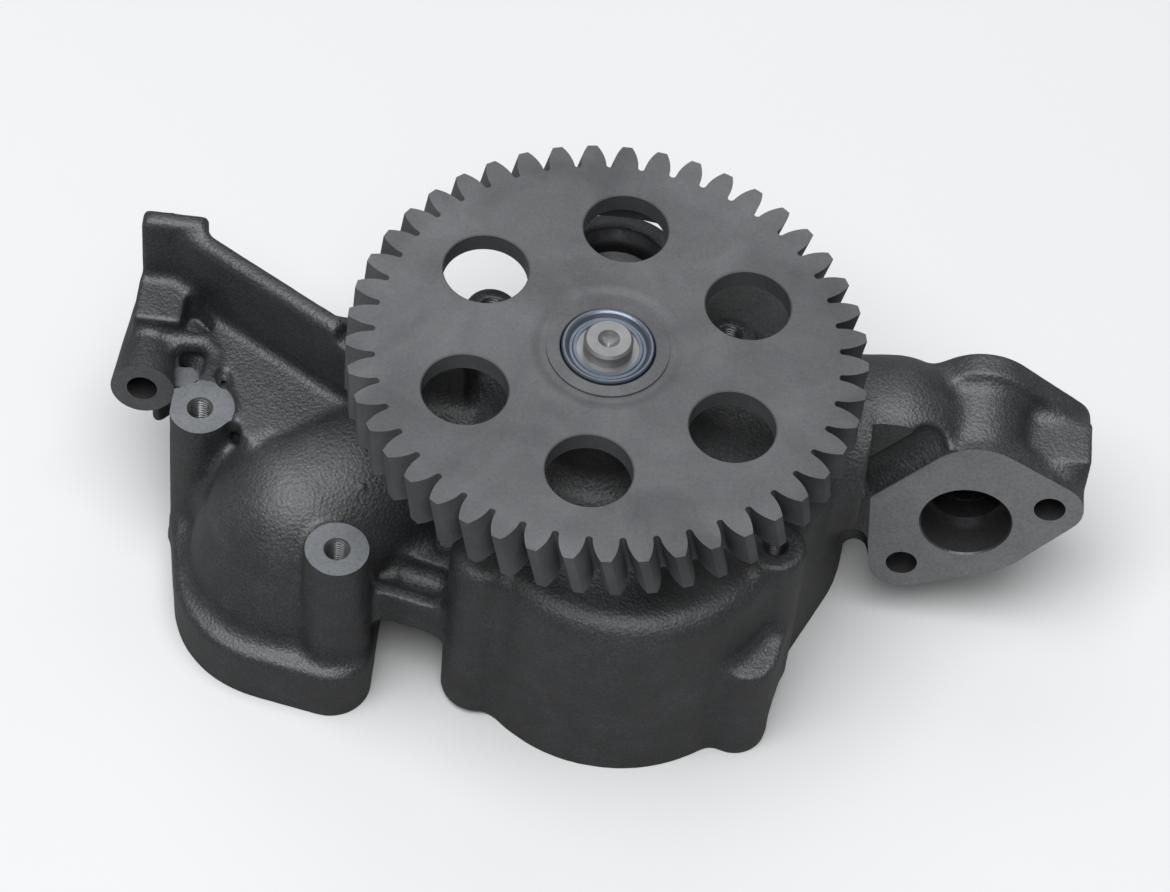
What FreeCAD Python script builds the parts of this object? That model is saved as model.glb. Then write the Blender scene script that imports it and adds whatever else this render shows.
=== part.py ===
import FreeCAD, Part
import math
import os

from FreeCAD import Vector

# An engine oil pump: a cast housing with a suction elbow and a delivery arm, two pump gears
# inside it, and a helical wheel on top that drives them from the crankshaft.
# Frame: the origin is on the drive shaft's axis at the base, +Z is up the shaft towards the
# drive wheel, +X points to the delivery flange, -Y to the front of the round pump body.

# Drive wheel
WHEEL_TEETH = 45
WHEEL_MODULE = 3.5
WHEEL_TIP_RADIUS = 82.8
WHEEL_ROOT_RADIUS = 73.7
WHEEL_FACE = 17.7
WHEEL_HELIX_DEG = 13.0
WHEEL_PHASE_DEG = 2.7
WHEEL_TIP_LAND = 3.1
WHEEL_TOOTH_BASE = 8.2
WHEEL_RIM_WIDTH = 7.0
WHEEL_WEB = 7.4
WHEEL_HOLES = 6
WHEEL_HOLE_RADIUS = 13.8
WHEEL_HOLE_CIRCLE = 48.8
WHEEL_HOLE_PHASE_DEG = 28.3
WHEEL_HUB_RADIUS = 27.0
WHEEL_BORE_RADIUS = 15.3
WHEEL_RECESS_INNER = 19.6
WHEEL_RECESS_DEPTH = 0.9
WHEEL_RECESS_WIDTH = 5.4
WHEEL_RECESS_PROFILE = ((0.2, 1.0), (0.4, 0.88), (0.6, 0.55), (0.8, 0.2), (1.0, 0.0))
WHEEL_TOP = 121.0
WHEEL_FLOOR = 7.0
WHEEL_ROOT_FILLET = 1.3

# Drive shaft and the ring that clamps the wheel on it
SHAFT_RADIUS = 10.0
SHAFT_END_RADIUS = 7.9
SHAFT_END_RISE = 4.1
SHAFT_CENTRE_RADIUS = 3.5
SHAFT_CENTRE_DEPTH = 4.0
SHAFT_CHAMFER = 0.8
RING_RADIUS = 14.75
RING_DISH = 1.6
RING_PROUD = 0.7
RING_GAP = 0.6
KEY_WIDTH = 6.0
KEY_HEIGHT = 6.0
KEY_LENGTH = 30.0

# Pump gears
GEAR_TEETH = 10
GEAR_MODULE = 4.5
GEAR_PRESSURE_DEG = 27.0
GEAR_ADDENDUM = 0.9
GEAR_DEDENDUM = 1.1
GEAR_BACKLASH = 0.30
GEAR_FACE = 43.0
GEAR_END_CLEARANCE = 0.15
GEAR_TIP_CLEARANCE = 0.10
IDLER_AXIS_DEG = -63.6
IDLER_SHAFT_RADIUS = 8.0
IDLER_BUSH_WALL = 2.5
RUNNING_CLEARANCE = 0.04

# Round pump body
BODY_HEIGHT = 79.0
BODY_RADIUS = 53.1
BODY_X = 13.2
BODY_Y = -26.6
BODY_ROUND = 9.0
BELLY_RADIUS = 54.5
BELLY_X = 32.8
BELLY_Y = 19.5
REAR_COLUMN_X = 39.2
REAR_COLUMN_Y = 36.3
REAR_COLUMN_RADIUS = 9.0
REAR_COLUMN_TOP = 88.0
REAR_COLUMN_ROUND = 2.5
BEARING_BOSS_RADIUS = 24.0
BEARING_BOSS_TOP = 98.0
BEARING_BOSS_FLARE = 6.0
BUSH_WALL = 2.5
UPPER_BUSH_LENGTH = 36.0
LOWER_BUSH_LENGTH = 9.5
THRUST_WASHER_RADIUS = 22.0

# Columns at the front of the body
LEFT_COLUMN_X = -30.3
LEFT_COLUMN_Y = -53.3
LEFT_COLUMN_TOP = 78.0
LEFT_COLUMN_RADIUS = 12.0
LEFT_COLUMN_ROUND = 5.0
RIGHT_COLUMN_X = 60.2
RIGHT_COLUMN_Y = -40.9
RIGHT_COLUMN_TOP = 82.0
RIGHT_COLUMN_BOTTOM = 12.0
RIGHT_COLUMN_RADIUS = 10.4
RIGHT_COLUMN_ROUND = 2.5
COLUMN_FOOT_RADIUS = 9.0
COLUMN_FOOT_HEIGHT = 2.0

# Lug in front of the right column, where the casting was fed, and its sloping top
LUG_X = 55.6
LUG_Y = -57.8
LUG_RADIUS = 10.9
LUG_FOOT_RADIUS = 10.5
LUG_SADDLE_RADIUS = 9.7
LUG_TOP = 60.0
LUG_EDGE_Z = 44.3
LUG_SLOPE = Vector(0.05, -0.18, 1)

# Threaded holes
M8_CORE_RADIUS = 3.5
M8_CHAMFER_RADIUS = 4.2
M8_DEPTH = 24.0

# Bottom cover
COVER_THICKNESS = 14.0
COVER_EDGE = 6.8
COVER_REAR_RADIUS = 38.0
COVER_FIT = 0.10
GASKET_THICKNESS = 0.5
SCREW_RADIUS = 3.0
SCREW_HEAD_RADIUS = 5.0
SCREW_HEAD_HEIGHT = 6.0
SCREW_HEAD_SINK = 1.0
SCREW_REACH = 10.0
SCREW_SOCKET = 5.0
SCREW_SOCKET_DEPTH = 3.0
SCREW_FRONT_CIRCLE = 40.3
SCREW_REAR_CIRCLE = 33.0
SCREW_FRONT_TURNS = (-80, -50, 50, 80)
SCREW_REAR_TURNS = (-78, -26, 26, 78)
DOWEL_TURNS = (-108, 108)
DOWEL_RADIUS = 3.0
DOWEL_LENGTH = 16.0

# Ports and passages inside the housing
PORT_RADIUS = 12.0
PORT_OFFSET = 20.0
PORT_FLOOR = 4.0
PORT_ROOF = 8.0
PASSAGE_RADIUS = 12.0
DELIVERY_POCKET_RADIUS = 16.0
DELIVERY_POCKET_X = 58.0
DELIVERY_POCKET_Y = 19.0
ARM_KNEE_X = 96.0
ARM_KNEE_Y = 19.0

# Suction elbow at the left
ELBOW_X = -93.5
ELBOW_Y = -26.0
ELBOW_FLANGE_HEIGHT = 22.0
ELBOW_FLANGE_ROUND = 3.0
ELBOW_FLANGE_DISCS = (
    (-78.5, -58.5, 13.7),
    (-84.0, -10.0, 19.2),
    (-127.8, -8.5, 11.0),
    (-95.5, -30.0, 38.6),
)
DOME_RADIUS = 36.0
DOME_TOP = 72.0
DOME_STEPS = 8
TUBE_START_RADIUS = 30.0
TUBE_START_Z = 46.0
TUBE_RADIUS = 26.0
TUBE_AXIS_HEIGHT = 54.0
TUBE_END_X = -38.0
TUBE_END_Y = 12.0
SUCTION_RADIUS = 20.0
SUCTION_STRAIGHT = 28.0
SUCTION_TURN_Z = 44.0
SEAL_SECTION_RADIUS = 1.6
SEAL_RING_RADIUS = 24.5
SEAL_PLAY = 0.1

# Threaded posts on the elbow
POST_TOP = 72.0
POST_TOP_RADIUS = 10.2
POST_LEFT_FOOT_RADIUS = 11.0
POST_FRONT_FOOT_RADIUS = 12.6
POST_LEFT_X = -129.0
POST_LEFT_Y = -6.4
POST_FRONT_X = -78.0
POST_FRONT_Y = -55.4

# Bridge between the elbow and the left column
BRIDGE_START_X = -72.0
BRIDGE_START_Y = -50.1
BRIDGE_HEADING_DEG = -12.8
BRIDGE_LENGTH = 40.0
BRIDGE_WIDTH = 19.0
BRIDGE_BOTTOM = 30.0
BRIDGE_FLOOR = 40.0
BRIDGE_FRONT_TOP = 45.0
BRIDGE_BACK_TOP = 48.5
BRIDGE_RIB = 4.5

# Bracket at the left rear
WALL_TOP = 104.0
WALL_THICKNESS = 7.0
WALL_ROUND = 2.9
WALL_START_X = -150.0
WALL_START_Y = 43.5
WALL_END_X = -87.5
WALL_END_Y = 6.2
WALL_FOOT = 62.0
WALL_TAIL_TOP = 98.0
WEB_TOP = 72.0
WEB_THICKNESS = 6.0
WEB_CORNERS = (
    (-135.5, 36.5), (-123.8, 20.3), (-118.0, -1.6), (-114.5, -14.5),
    (-111.0, -16.5), (-106.0, -11.0), (-98.0, -14.0), (-82.0, 4.0),
)
LOOP_LINE = ((-146.0, 14.0), (-139.0, 22.0), (-131.0, 22.5), (-127.0, 17.5), (-128.5, 0.0))
SKIRT_CORNERS = (
    (-137.0, 36.0), (-128.5, 18.0), (-129.0, 0.0), (-112.0, -14.0), (-100.0, 2.0), (-122.0, 24.0),
)
TAIL_CORNERS = ((-95.5, 10.7), (-77.5, 0.2), (-44.0, 2.0), (-44.0, 18.0), (-94.0, 18.0))
BRACE_START = (-110.5, -15.0)
BRACE_END = (-129.5, -29.0)
BRACE_PROFILE = ((0.0, 12.0), (0.0, 71.0), (3.0, 70.0), (21.0, 30.0), (22.0, 12.0))
PLATE_LEFT_X = -154.9
PLATE_RIGHT_X = -133.5
PLATE_TOP = 106.5
PLATE_FRONT_Y = 39.5
PLATE_FOOT = 46.0
EAR_BOSS_X = -149.5
EAR_BOSS_FACE_Z = 66.3
EAR_BOSS_RADIUS = 10.5
EAR_BOSS_ROOT_RADIUS = 8.0
EAR_HOLE_RADIUS = 5.0
PAD_WIDTH = 16.0
PAD_DEPTH = 17.0
PAD_HEIGHT = 14.0
PAD_LEFT = 6.0
PAD_Y = 22.0
PAD_Z = 65.0
RIB_THICKNESS = 4.4
RIB_FOOT = 36.0
SKIRT_TOP = 58.0

# Plane of the two machined mounting faces
FACE_TILT_DEG = 8.0
FACE_ZERO_Z = 45.0

# Delivery arm and its flange
OUTLET_X = 123.9
OUTLET_Z = 48.5
OUTLET_RADIUS = 14.9
OUTLET_STEP_RADIUS = 12.2
OUTLET_STEP_DEPTH = 14.0
FLANGE_THICKNESS = 8.0
FLANGE_HOLE_RADIUS = 5.2
FLANGE_RIGHT_U = 26.2
FLANGE_RIGHT_V = 10.6
FLANGE_LEFT_U = -18.3
FLANGE_LEFT_V = -22.6
FLANGE_LOBE_RADIUS = 11.2
FLANGE_ROUND_RADIUS = 25.0
FLANGE_CROWN_RADIUS = 19.0
FLANGE_CROWN_U = 1.0
FLANGE_CROWN_V = 15.5
FLANGE_CORNER_U = -30.1
FLANGE_CORNER_V = 6.2
FLANGE_CORNER_RADIUS = 2.0
REAR_LOBE_U = 27.2
REAR_LOBE_V = 7.6
REAR_CROWN_V = 17.5
REAR_ROUND_U = -4.0
REAR_ROUND_V = -2.0
REAR_ROUND_RADIUS = 22.0
REAR_THICKNESS = 9.0
REAR_RISE = 5.0
EAR_DEPTH = 40.0
WAIST_RADIUS = 21.0
WAIST_FRONT_Y = 6.0
CROWN_RADIUS = 17.0
CROWN_FRONT_Y = 8.0
CROWN_FRONT_RISE = 16.0
CROWN_REAR_RISE = 22.0
BOLT_BOSS_FRONT_Y = 5.0
BOLT_PAD_SIZE = 17.0
BOLT_PAD_HEIGHT = 12.0
BOLT_PAD_LEFT = 5.5
BOLT_PAD_Y = 12.0
GUSSET_HEIGHT = 22.0
GUSSET_DROP = 12.0
ARM_SHOULDER = Vector(62.0, 17.0, 60.0)
ARM_WRIST_Y = 22.0
ARM_WRIST_Z = 60.0
KEEL_X = 80.0
KEEL_Y = 7.0
KEEL_Z = 24.0
KEEL_LENGTH = 36.0
KEEL_WIDTH = 7.0
KEEL_HEIGHT = 40.0
PILLAR_Y = 14.0
PILLAR_RADIUS = 7.0
PILLAR_FROM = 17.0
PILLAR_TO = 6.0
PILLAR_BOTTOM = 20.0
PILLAR_TOP = 58.0
ARM_SHOULDER_RADIUS = 29.0
ARM_KNEE_RADIUS = 28.5
ARM_WRIST_RADIUS = 20.0
ARM_KNEE_Z = 63.5

# Pressure relief valve at the rear
TOWER_Y = 59.0
TOWER_RADIUS = 24.5
TOWER_TOP = 88.0
TOWER_ROUND = 4.0
RELIEF_MOUTH_RADIUS = 17.3
RELIEF_MOUTH_DEPTH = 16.0
RELIEF_BORE_RADIUS = 13.0
RELIEF_SEAT_Z = 22.0
RELIEF_SEAT_RADIUS = 8.0
RELIEF_GALLERY_Z = 14.0
RELIEF_GALLERY_RADIUS = 5.0
RELIEF_SPILL_Z = 36.0
RELIEF_SPILL_RADIUS = 5.0
PISTON_LENGTH = 24.0
PISTON_WALL = 2.2
PLUG_THREAD_LENGTH = 10.0
PLUG_FLANGE_RADIUS = 15.6
PLUG_FLANGE = 4.0
PLUG_HEX = 14.0
PLUG_HEX_DEPTH = 6.0
WASHER_THICKNESS = 1.5
SPRING_WIRE_RADIUS = 1.3
SPRING_WIRE_SIDES = 8
SPRING_COILS = 6.5
SPRING_PLAY = 0.5
GALLERY_PLUG_RADIUS = 6.5
GALLERY_PLUG_FLANGE_RADIUS = 9.0
GALLERY_PLUG_FLANGE = 1.5
GALLERY_PLUG_HEX = 14.0
GALLERY_PLUG_HEX_HEIGHT = 5.0
GALLERY_SPOT_DEPTH = 2.2
GALLERY_PLUG_REACH = 9.0

# Half width of the block that cuts along a plane
PLANE_CUTTER_SIZE = 300.0

# Sizes worked out from the ones above
WHEEL_BOTTOM = WHEEL_TOP - WHEEL_FACE
SHAFT_TOP = WHEEL_TOP + SHAFT_END_RISE
SHAFT_BOTTOM = COVER_THICKNESS - LOWER_BUSH_LENGTH + 0.5
CHAMBER_FLOOR = COVER_THICKNESS + GASKET_THICKNESS
CHAMBER_ROOF = CHAMBER_FLOOR + GEAR_FACE + 2 * GEAR_END_CLEARANCE
GEAR_BOTTOM = CHAMBER_FLOOR + GEAR_END_CLEARANCE
PITCH_RADIUS = GEAR_MODULE * GEAR_TEETH / 2
GEAR_TIP_RADIUS = PITCH_RADIUS + GEAR_ADDENDUM * GEAR_MODULE
GEAR_ROOT_RADIUS = PITCH_RADIUS - GEAR_DEDENDUM * GEAR_MODULE
CHAMBER_RADIUS = GEAR_TIP_RADIUS + GEAR_TIP_CLEARANCE
AXLE_DISTANCE = 2 * PITCH_RADIUS
IDLER_X = AXLE_DISTANCE * math.cos(math.radians(IDLER_AXIS_DEG))
IDLER_Y = AXLE_DISTANCE * math.sin(math.radians(IDLER_AXIS_DEG))
BUSH_RADIUS = SHAFT_RADIUS + BUSH_WALL
PORT_MIDDLE_Z = (CHAMBER_FLOOR + CHAMBER_ROOF) / 2
IDLER_SHAFT_TOP = BODY_HEIGHT - 5.0
IDLER_SHAFT_BOTTOM = 4.0
PISTON_BOTTOM = RELIEF_SEAT_Z + 0.3
MOUTH_FLOOR = TOWER_TOP - RELIEF_MOUTH_DEPTH
UP = Vector(0, 0, 1)
FACE_TILT = math.radians(FACE_TILT_DEG)
FACE_INWARD = Vector(0, math.cos(FACE_TILT), -math.sin(FACE_TILT))


def face_y(z):
    """Depth of the mounting plane at a height."""
    return (z - FACE_ZERO_Z) * math.tan(FACE_TILT)


def polar(radius, degrees, z=0.0):
    angle = math.radians(degrees)
    return Vector(radius * math.cos(angle), radius * math.sin(angle), z)


def cylinder(radius, start, end):
    """Solid round bar between two points."""
    axis = end.sub(start)
    return Part.makeCylinder(radius, axis.Length, start, axis)


def upright(x, y, radius, bottom, top):
    return Part.makeCylinder(radius, top - bottom, Vector(x, y, bottom), UP)


def cone_between(start, start_radius, end, end_radius):
    axis = end.sub(start)
    return Part.makeCone(start_radius, end_radius, axis.Length, start, axis)


def turned(profile, x=0.0, y=0.0):
    """Solid of revolution about the upright axis through x, y from radius and height pairs."""
    points = [Vector(x + radius, y, height) for radius, height in profile]
    wire = Part.makePolygon(points + [points[0]])
    return Part.Face(wire).revolve(Vector(x, y, 0), UP, 360)


def tangent_outline(discs):
    """Closed outline that wraps discs (x, y, radius) in counter-clockwise order."""
    joints = []
    for index, (x0, y0, r0) in enumerate(discs):
        x1, y1, r1 = discs[(index + 1) % len(discs)]
        gap = math.hypot(x1 - x0, y1 - y0)
        heading = math.atan2(y1 - y0, x1 - x0)
        normal = heading - math.acos((r0 - r1) / gap)
        out = Vector(math.cos(normal), math.sin(normal), 0)
        joints.append((Vector(x0, y0, 0) + out * r0, Vector(x1, y1, 0) + out * r1, normal))
    edges = []
    for index, (x, y, radius) in enumerate(discs):
        _, arrive, first = joints[index - 1]
        leave, land, last = joints[index]
        while last < first:
            last += 2 * math.pi
        middle = (first + last) / 2
        crown = Vector(x + radius * math.cos(middle), y + radius * math.sin(middle), 0)
        edges.append(Part.Arc(arrive, crown, leave).toShape())
        edges.append(Part.LineSegment(leave, land).toShape())
    return Part.Wire(edges)


def wrapped(discs, bottom, top):
    """Prism on a tangent outline."""
    face = Part.Face(tangent_outline(discs))
    face.translate(Vector(0, 0, bottom))
    return face.extrude(Vector(0, 0, top - bottom))


def slab(points, bottom, top):
    """Prism on a straight-sided outline."""
    corners = [Vector(x, y, bottom) for x, y in points]
    return Part.Face(Part.makePolygon(corners + [corners[0]])).extrude(Vector(0, 0, top - bottom))


def rounded_at(solid, height, radius):
    """Fillet of every edge that lies at one height."""
    edges = []
    for edge in solid.Edges:
        box = edge.BoundBox
        if abs(box.ZMin - height) < 0.01 and abs(box.ZMax - height) < 0.01:
            edges.append(edge)
    return solid.makeFillet(radius, edges)


def joined(shapes):
    return shapes[0].multiFuse(shapes[1:]).removeSplitter()


def as_solid(shape):
    """The one solid of a finished piece."""
    if len(shape.Solids) != 1:
        raise ValueError("a piece came apart: %d solids" % len(shape.Solids))
    return shape.Solids[0]


def tapped(x, y, top, depth=M8_DEPTH):
    """Cutter for a threaded hole with its countersink and drill point."""
    lead = M8_CHAMFER_RADIUS - M8_CORE_RADIUS
    point = M8_CORE_RADIUS * 0.6
    profile = [
        (0, top - depth - point),
        (M8_CORE_RADIUS, top - depth),
        (M8_CORE_RADIUS, top - lead),
        (M8_CHAMFER_RADIUS, top),
        (M8_CHAMFER_RADIUS, top + 1),
        (0, top + 1),
    ]
    return turned(profile, x, y)


def column(x, y, radius, bottom, top, rounding):
    return rounded_at(upright(x, y, radius, bottom, top), top, rounding)


def post(x, y, foot_radius):
    """Drafted post with a machined top."""
    return cone_between(Vector(x, y, 0), foot_radius, Vector(x, y, POST_TOP), POST_TOP_RADIUS)


def body_block():
    """Round body, belly and rear corners as one rounded block, with its columns."""
    outline = [
        (BODY_X, BODY_Y, BODY_RADIUS),
        (BELLY_X, BELLY_Y, BELLY_RADIUS),
        (-REAR_COLUMN_X, REAR_COLUMN_Y, REAR_COLUMN_RADIUS),
    ]
    block = rounded_at(wrapped(outline, 0, BODY_HEIGHT), BODY_HEIGHT, BODY_ROUND)
    tower_outline = [(0, TOWER_Y, TOWER_RADIUS), (0, TOWER_Y / 2, TOWER_RADIUS)]
    tower = rounded_at(wrapped(tower_outline, 0, TOWER_TOP), TOWER_TOP, TOWER_ROUND)
    boss_foot = BEARING_BOSS_RADIUS + BEARING_BOSS_FLARE
    boss = turned([
        (0, BODY_HEIGHT - BODY_ROUND),
        (boss_foot, BODY_HEIGHT - BODY_ROUND),
        (boss_foot, BODY_HEIGHT),
        (BEARING_BOSS_RADIUS, BODY_HEIGHT + BEARING_BOSS_FLARE),
        (BEARING_BOSS_RADIUS, BEARING_BOSS_TOP),
        (0, BEARING_BOSS_TOP),
    ])
    pieces = [block, tower, boss]
    for side in (-1, 1):
        pieces.append(column(side * REAR_COLUMN_X, REAR_COLUMN_Y, REAR_COLUMN_RADIUS,
                             0, REAR_COLUMN_TOP, REAR_COLUMN_ROUND))
    pieces.append(column(LEFT_COLUMN_X, LEFT_COLUMN_Y, LEFT_COLUMN_RADIUS,
                         COLUMN_FOOT_HEIGHT, LEFT_COLUMN_TOP, LEFT_COLUMN_ROUND))
    pieces.append(column(RIGHT_COLUMN_X, RIGHT_COLUMN_Y, RIGHT_COLUMN_RADIUS,
                         RIGHT_COLUMN_BOTTOM, RIGHT_COLUMN_TOP, RIGHT_COLUMN_ROUND))
    pieces.append(upright(LEFT_COLUMN_X, LEFT_COLUMN_Y, COLUMN_FOOT_RADIUS, 0, COLUMN_FOOT_HEIGHT + 1))
    pieces.append(upright(LUG_X, LUG_Y, LUG_FOOT_RADIUS, 0, COLUMN_FOOT_HEIGHT + 1))
    pieces.append(feed_lug())
    return joined(pieces)


def above_plane(point, normal):
    """Block that fills one side of a plane, as a cutter."""
    size = PLANE_CUTTER_SIZE
    block = Part.makeBox(2 * size, 2 * size, size, Vector(-size, -size, 0))
    block.Placement = FreeCAD.Placement(point, FreeCAD.Rotation(UP, normal))
    return block


def feed_lug():
    """Lug that joins the right column above its foot and ends in a rough slope."""
    foot = upright(LUG_X, LUG_Y, LUG_RADIUS, COLUMN_FOOT_HEIGHT, LUG_TOP)
    saddle = wrapped([(LUG_X, LUG_Y, LUG_RADIUS), (RIGHT_COLUMN_X, RIGHT_COLUMN_Y, LUG_SADDLE_RADIUS)],
                     RIGHT_COLUMN_BOTTOM, LUG_TOP)
    edge = Vector(LUG_X, LUG_Y - LUG_RADIUS, LUG_EDGE_Z)
    return foot.fuse(saddle).cut(above_plane(edge, LUG_SLOPE))


def half_ellipsoid(x, y, bottom, radius, top):
    """Dome of revolution with an elliptical outline."""
    outline = []
    for step in range(DOME_STEPS + 1):
        angle = math.pi / 2 * step / DOME_STEPS
        outline.append(Vector(x + radius * math.cos(angle), y, bottom + (top - bottom) * math.sin(angle)))
    centre = Vector(x, y, bottom)
    base = Part.LineSegment(centre, outline[0]).toShape()
    axis = Part.LineSegment(outline[-1], centre).toShape()
    return Part.Face(Part.Wire([base, smooth_edge(outline), axis])).revolve(centre, UP, 360)


def elbow_block():
    """Suction elbow: flange, dome, tube to the body and the two posts."""
    flange = rounded_at(wrapped(ELBOW_FLANGE_DISCS, 0, ELBOW_FLANGE_HEIGHT),
                        ELBOW_FLANGE_HEIGHT, ELBOW_FLANGE_ROUND)
    dome = half_ellipsoid(ELBOW_X, ELBOW_Y, ELBOW_FLANGE_HEIGHT - 2, DOME_RADIUS, DOME_TOP)
    start = Vector(ELBOW_X, ELBOW_Y, TUBE_START_Z)
    end = Vector(TUBE_END_X, TUBE_END_Y, TUBE_AXIS_HEIGHT)
    tube = cone_between(start, TUBE_START_RADIUS, end, TUBE_RADIUS)
    knee = Part.makeSphere(TUBE_START_RADIUS, start)
    return joined([flange, dome, tube, knee,
                   post(POST_LEFT_X, POST_LEFT_Y, POST_LEFT_FOOT_RADIUS),
                   post(POST_FRONT_X, POST_FRONT_Y, POST_FRONT_FOOT_RADIUS)])


def bridge_block():
    """Channel-shaped bridge from the elbow to the left column, its two ribs of unequal height."""
    back = BRIDGE_WIDTH - BRIDGE_RIB
    runs = [
        (0, BRIDGE_WIDTH, BRIDGE_FLOOR),
        (0, BRIDGE_RIB, BRIDGE_FRONT_TOP),
        (back, BRIDGE_RIB, BRIDGE_BACK_TOP),
    ]
    boxes = []
    for offset, width, top in runs:
        boxes.append(Part.makeBox(BRIDGE_LENGTH, width, top - BRIDGE_BOTTOM, Vector(0, offset, 0)))
    bridge = joined(boxes)
    turn = FreeCAD.Rotation(UP, BRIDGE_HEADING_DEG)
    bridge.Placement = FreeCAD.Placement(Vector(BRIDGE_START_X, BRIDGE_START_Y, BRIDGE_BOTTOM), turn)
    return bridge


def rib(points, bottom, top):
    """Upright rib of even thickness through a chain of points."""
    radius = RIB_THICKNESS / 2
    runs = []
    for (x0, y0), (x1, y1) in zip(points, points[1:]):
        runs.append(wrapped([(x0, y0, radius), (x1, y1, radius)], bottom, top))
    return joined(runs)


def panel(start, end, profile, thickness):
    """Upright panel along a line in plan, its outline given as distance and height pairs."""
    run = Vector(end[0] - start[0], end[1] - start[1], 0)
    run.normalize()
    side = Vector(-run.y, run.x, 0)
    base = Vector(start[0], start[1], 0) - side * (thickness / 2)
    corners = [base + run * distance + UP * height for distance, height in profile]
    return Part.Face(Part.makePolygon(corners + [corners[0]])).extrude(side * thickness)


def bracket_block():
    """Left ear: upright wall, flat web, plate, boss with its pad, and ribs."""
    run = Vector(WALL_END_X - WALL_START_X, WALL_END_Y - WALL_START_Y, 0)
    side = Vector(-run.y, run.x, 0)
    side.normalize()
    start = Vector(WALL_START_X, WALL_START_Y, 0)
    end = Vector(WALL_END_X, WALL_END_Y, 0)
    back = side * WALL_THICKNESS
    corners = [start, end, end + back, start + back]
    wall = slab([(corner.x, corner.y) for corner in corners], WALL_FOOT, WALL_TOP)
    wall = rounded_at(wall, WALL_TOP, WALL_ROUND)
    tail = slab(TAIL_CORNERS, WALL_FOOT, WALL_TAIL_TOP)
    web = slab(WEB_CORNERS, WEB_TOP - WEB_THICKNESS, WEB_TOP)
    plate = Part.makeBox(PLATE_RIGHT_X - PLATE_LEFT_X, WALL_THICKNESS, PLATE_TOP - PLATE_FOOT,
                         Vector(PLATE_LEFT_X, PLATE_FRONT_Y, PLATE_FOOT))
    plate = rounded_at(plate, PLATE_TOP, WALL_ROUND)
    face_start = Vector(EAR_BOSS_X, face_y(EAR_BOSS_FACE_Z), EAR_BOSS_FACE_Z)
    reach = (PLATE_FRONT_Y + WALL_THICKNESS - face_start.y) / math.cos(FACE_TILT)
    boss = cone_between(face_start, EAR_BOSS_RADIUS, face_start + FACE_INWARD * reach,
                        EAR_BOSS_ROOT_RADIUS)
    pad = Part.makeBox(PAD_WIDTH, PAD_DEPTH, PAD_HEIGHT, Vector(EAR_BOSS_X - PAD_LEFT, PAD_Y, PAD_Z))
    loop = rib(LOOP_LINE, RIB_FOOT, WEB_TOP)
    brace = panel(BRACE_START, BRACE_END, BRACE_PROFILE, RIB_THICKNESS)
    skirt = slab(SKIRT_CORNERS, RIB_FOOT, SKIRT_TOP)
    return joined([wall, tail, web, plate, boss, pad, loop, brace, skirt])


def flange_placed(solid):
    """Moves a prism drawn in the mounting plane, its depth along -Z, to the delivery flange."""
    turn = FreeCAD.Rotation(Vector(1, 0, 0), 90 - FACE_TILT_DEG)
    solid.Placement = FreeCAD.Placement(Vector(OUTLET_X, face_y(OUTLET_Z), OUTLET_Z), turn)
    return solid


def flange_outline():
    """Delivery flange: two bolt lobes, a round foot and a crown above the bore."""
    return [
        (FLANGE_RIGHT_U, FLANGE_RIGHT_V, FLANGE_LOBE_RADIUS),
        (FLANGE_CROWN_U, FLANGE_CROWN_V, FLANGE_CROWN_RADIUS),
        (FLANGE_CORNER_U, FLANGE_CORNER_V, FLANGE_CORNER_RADIUS),
        (FLANGE_LEFT_U, FLANGE_LEFT_V, FLANGE_LOBE_RADIUS),
        (0, 0, FLANGE_ROUND_RADIUS),
    ]


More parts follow.
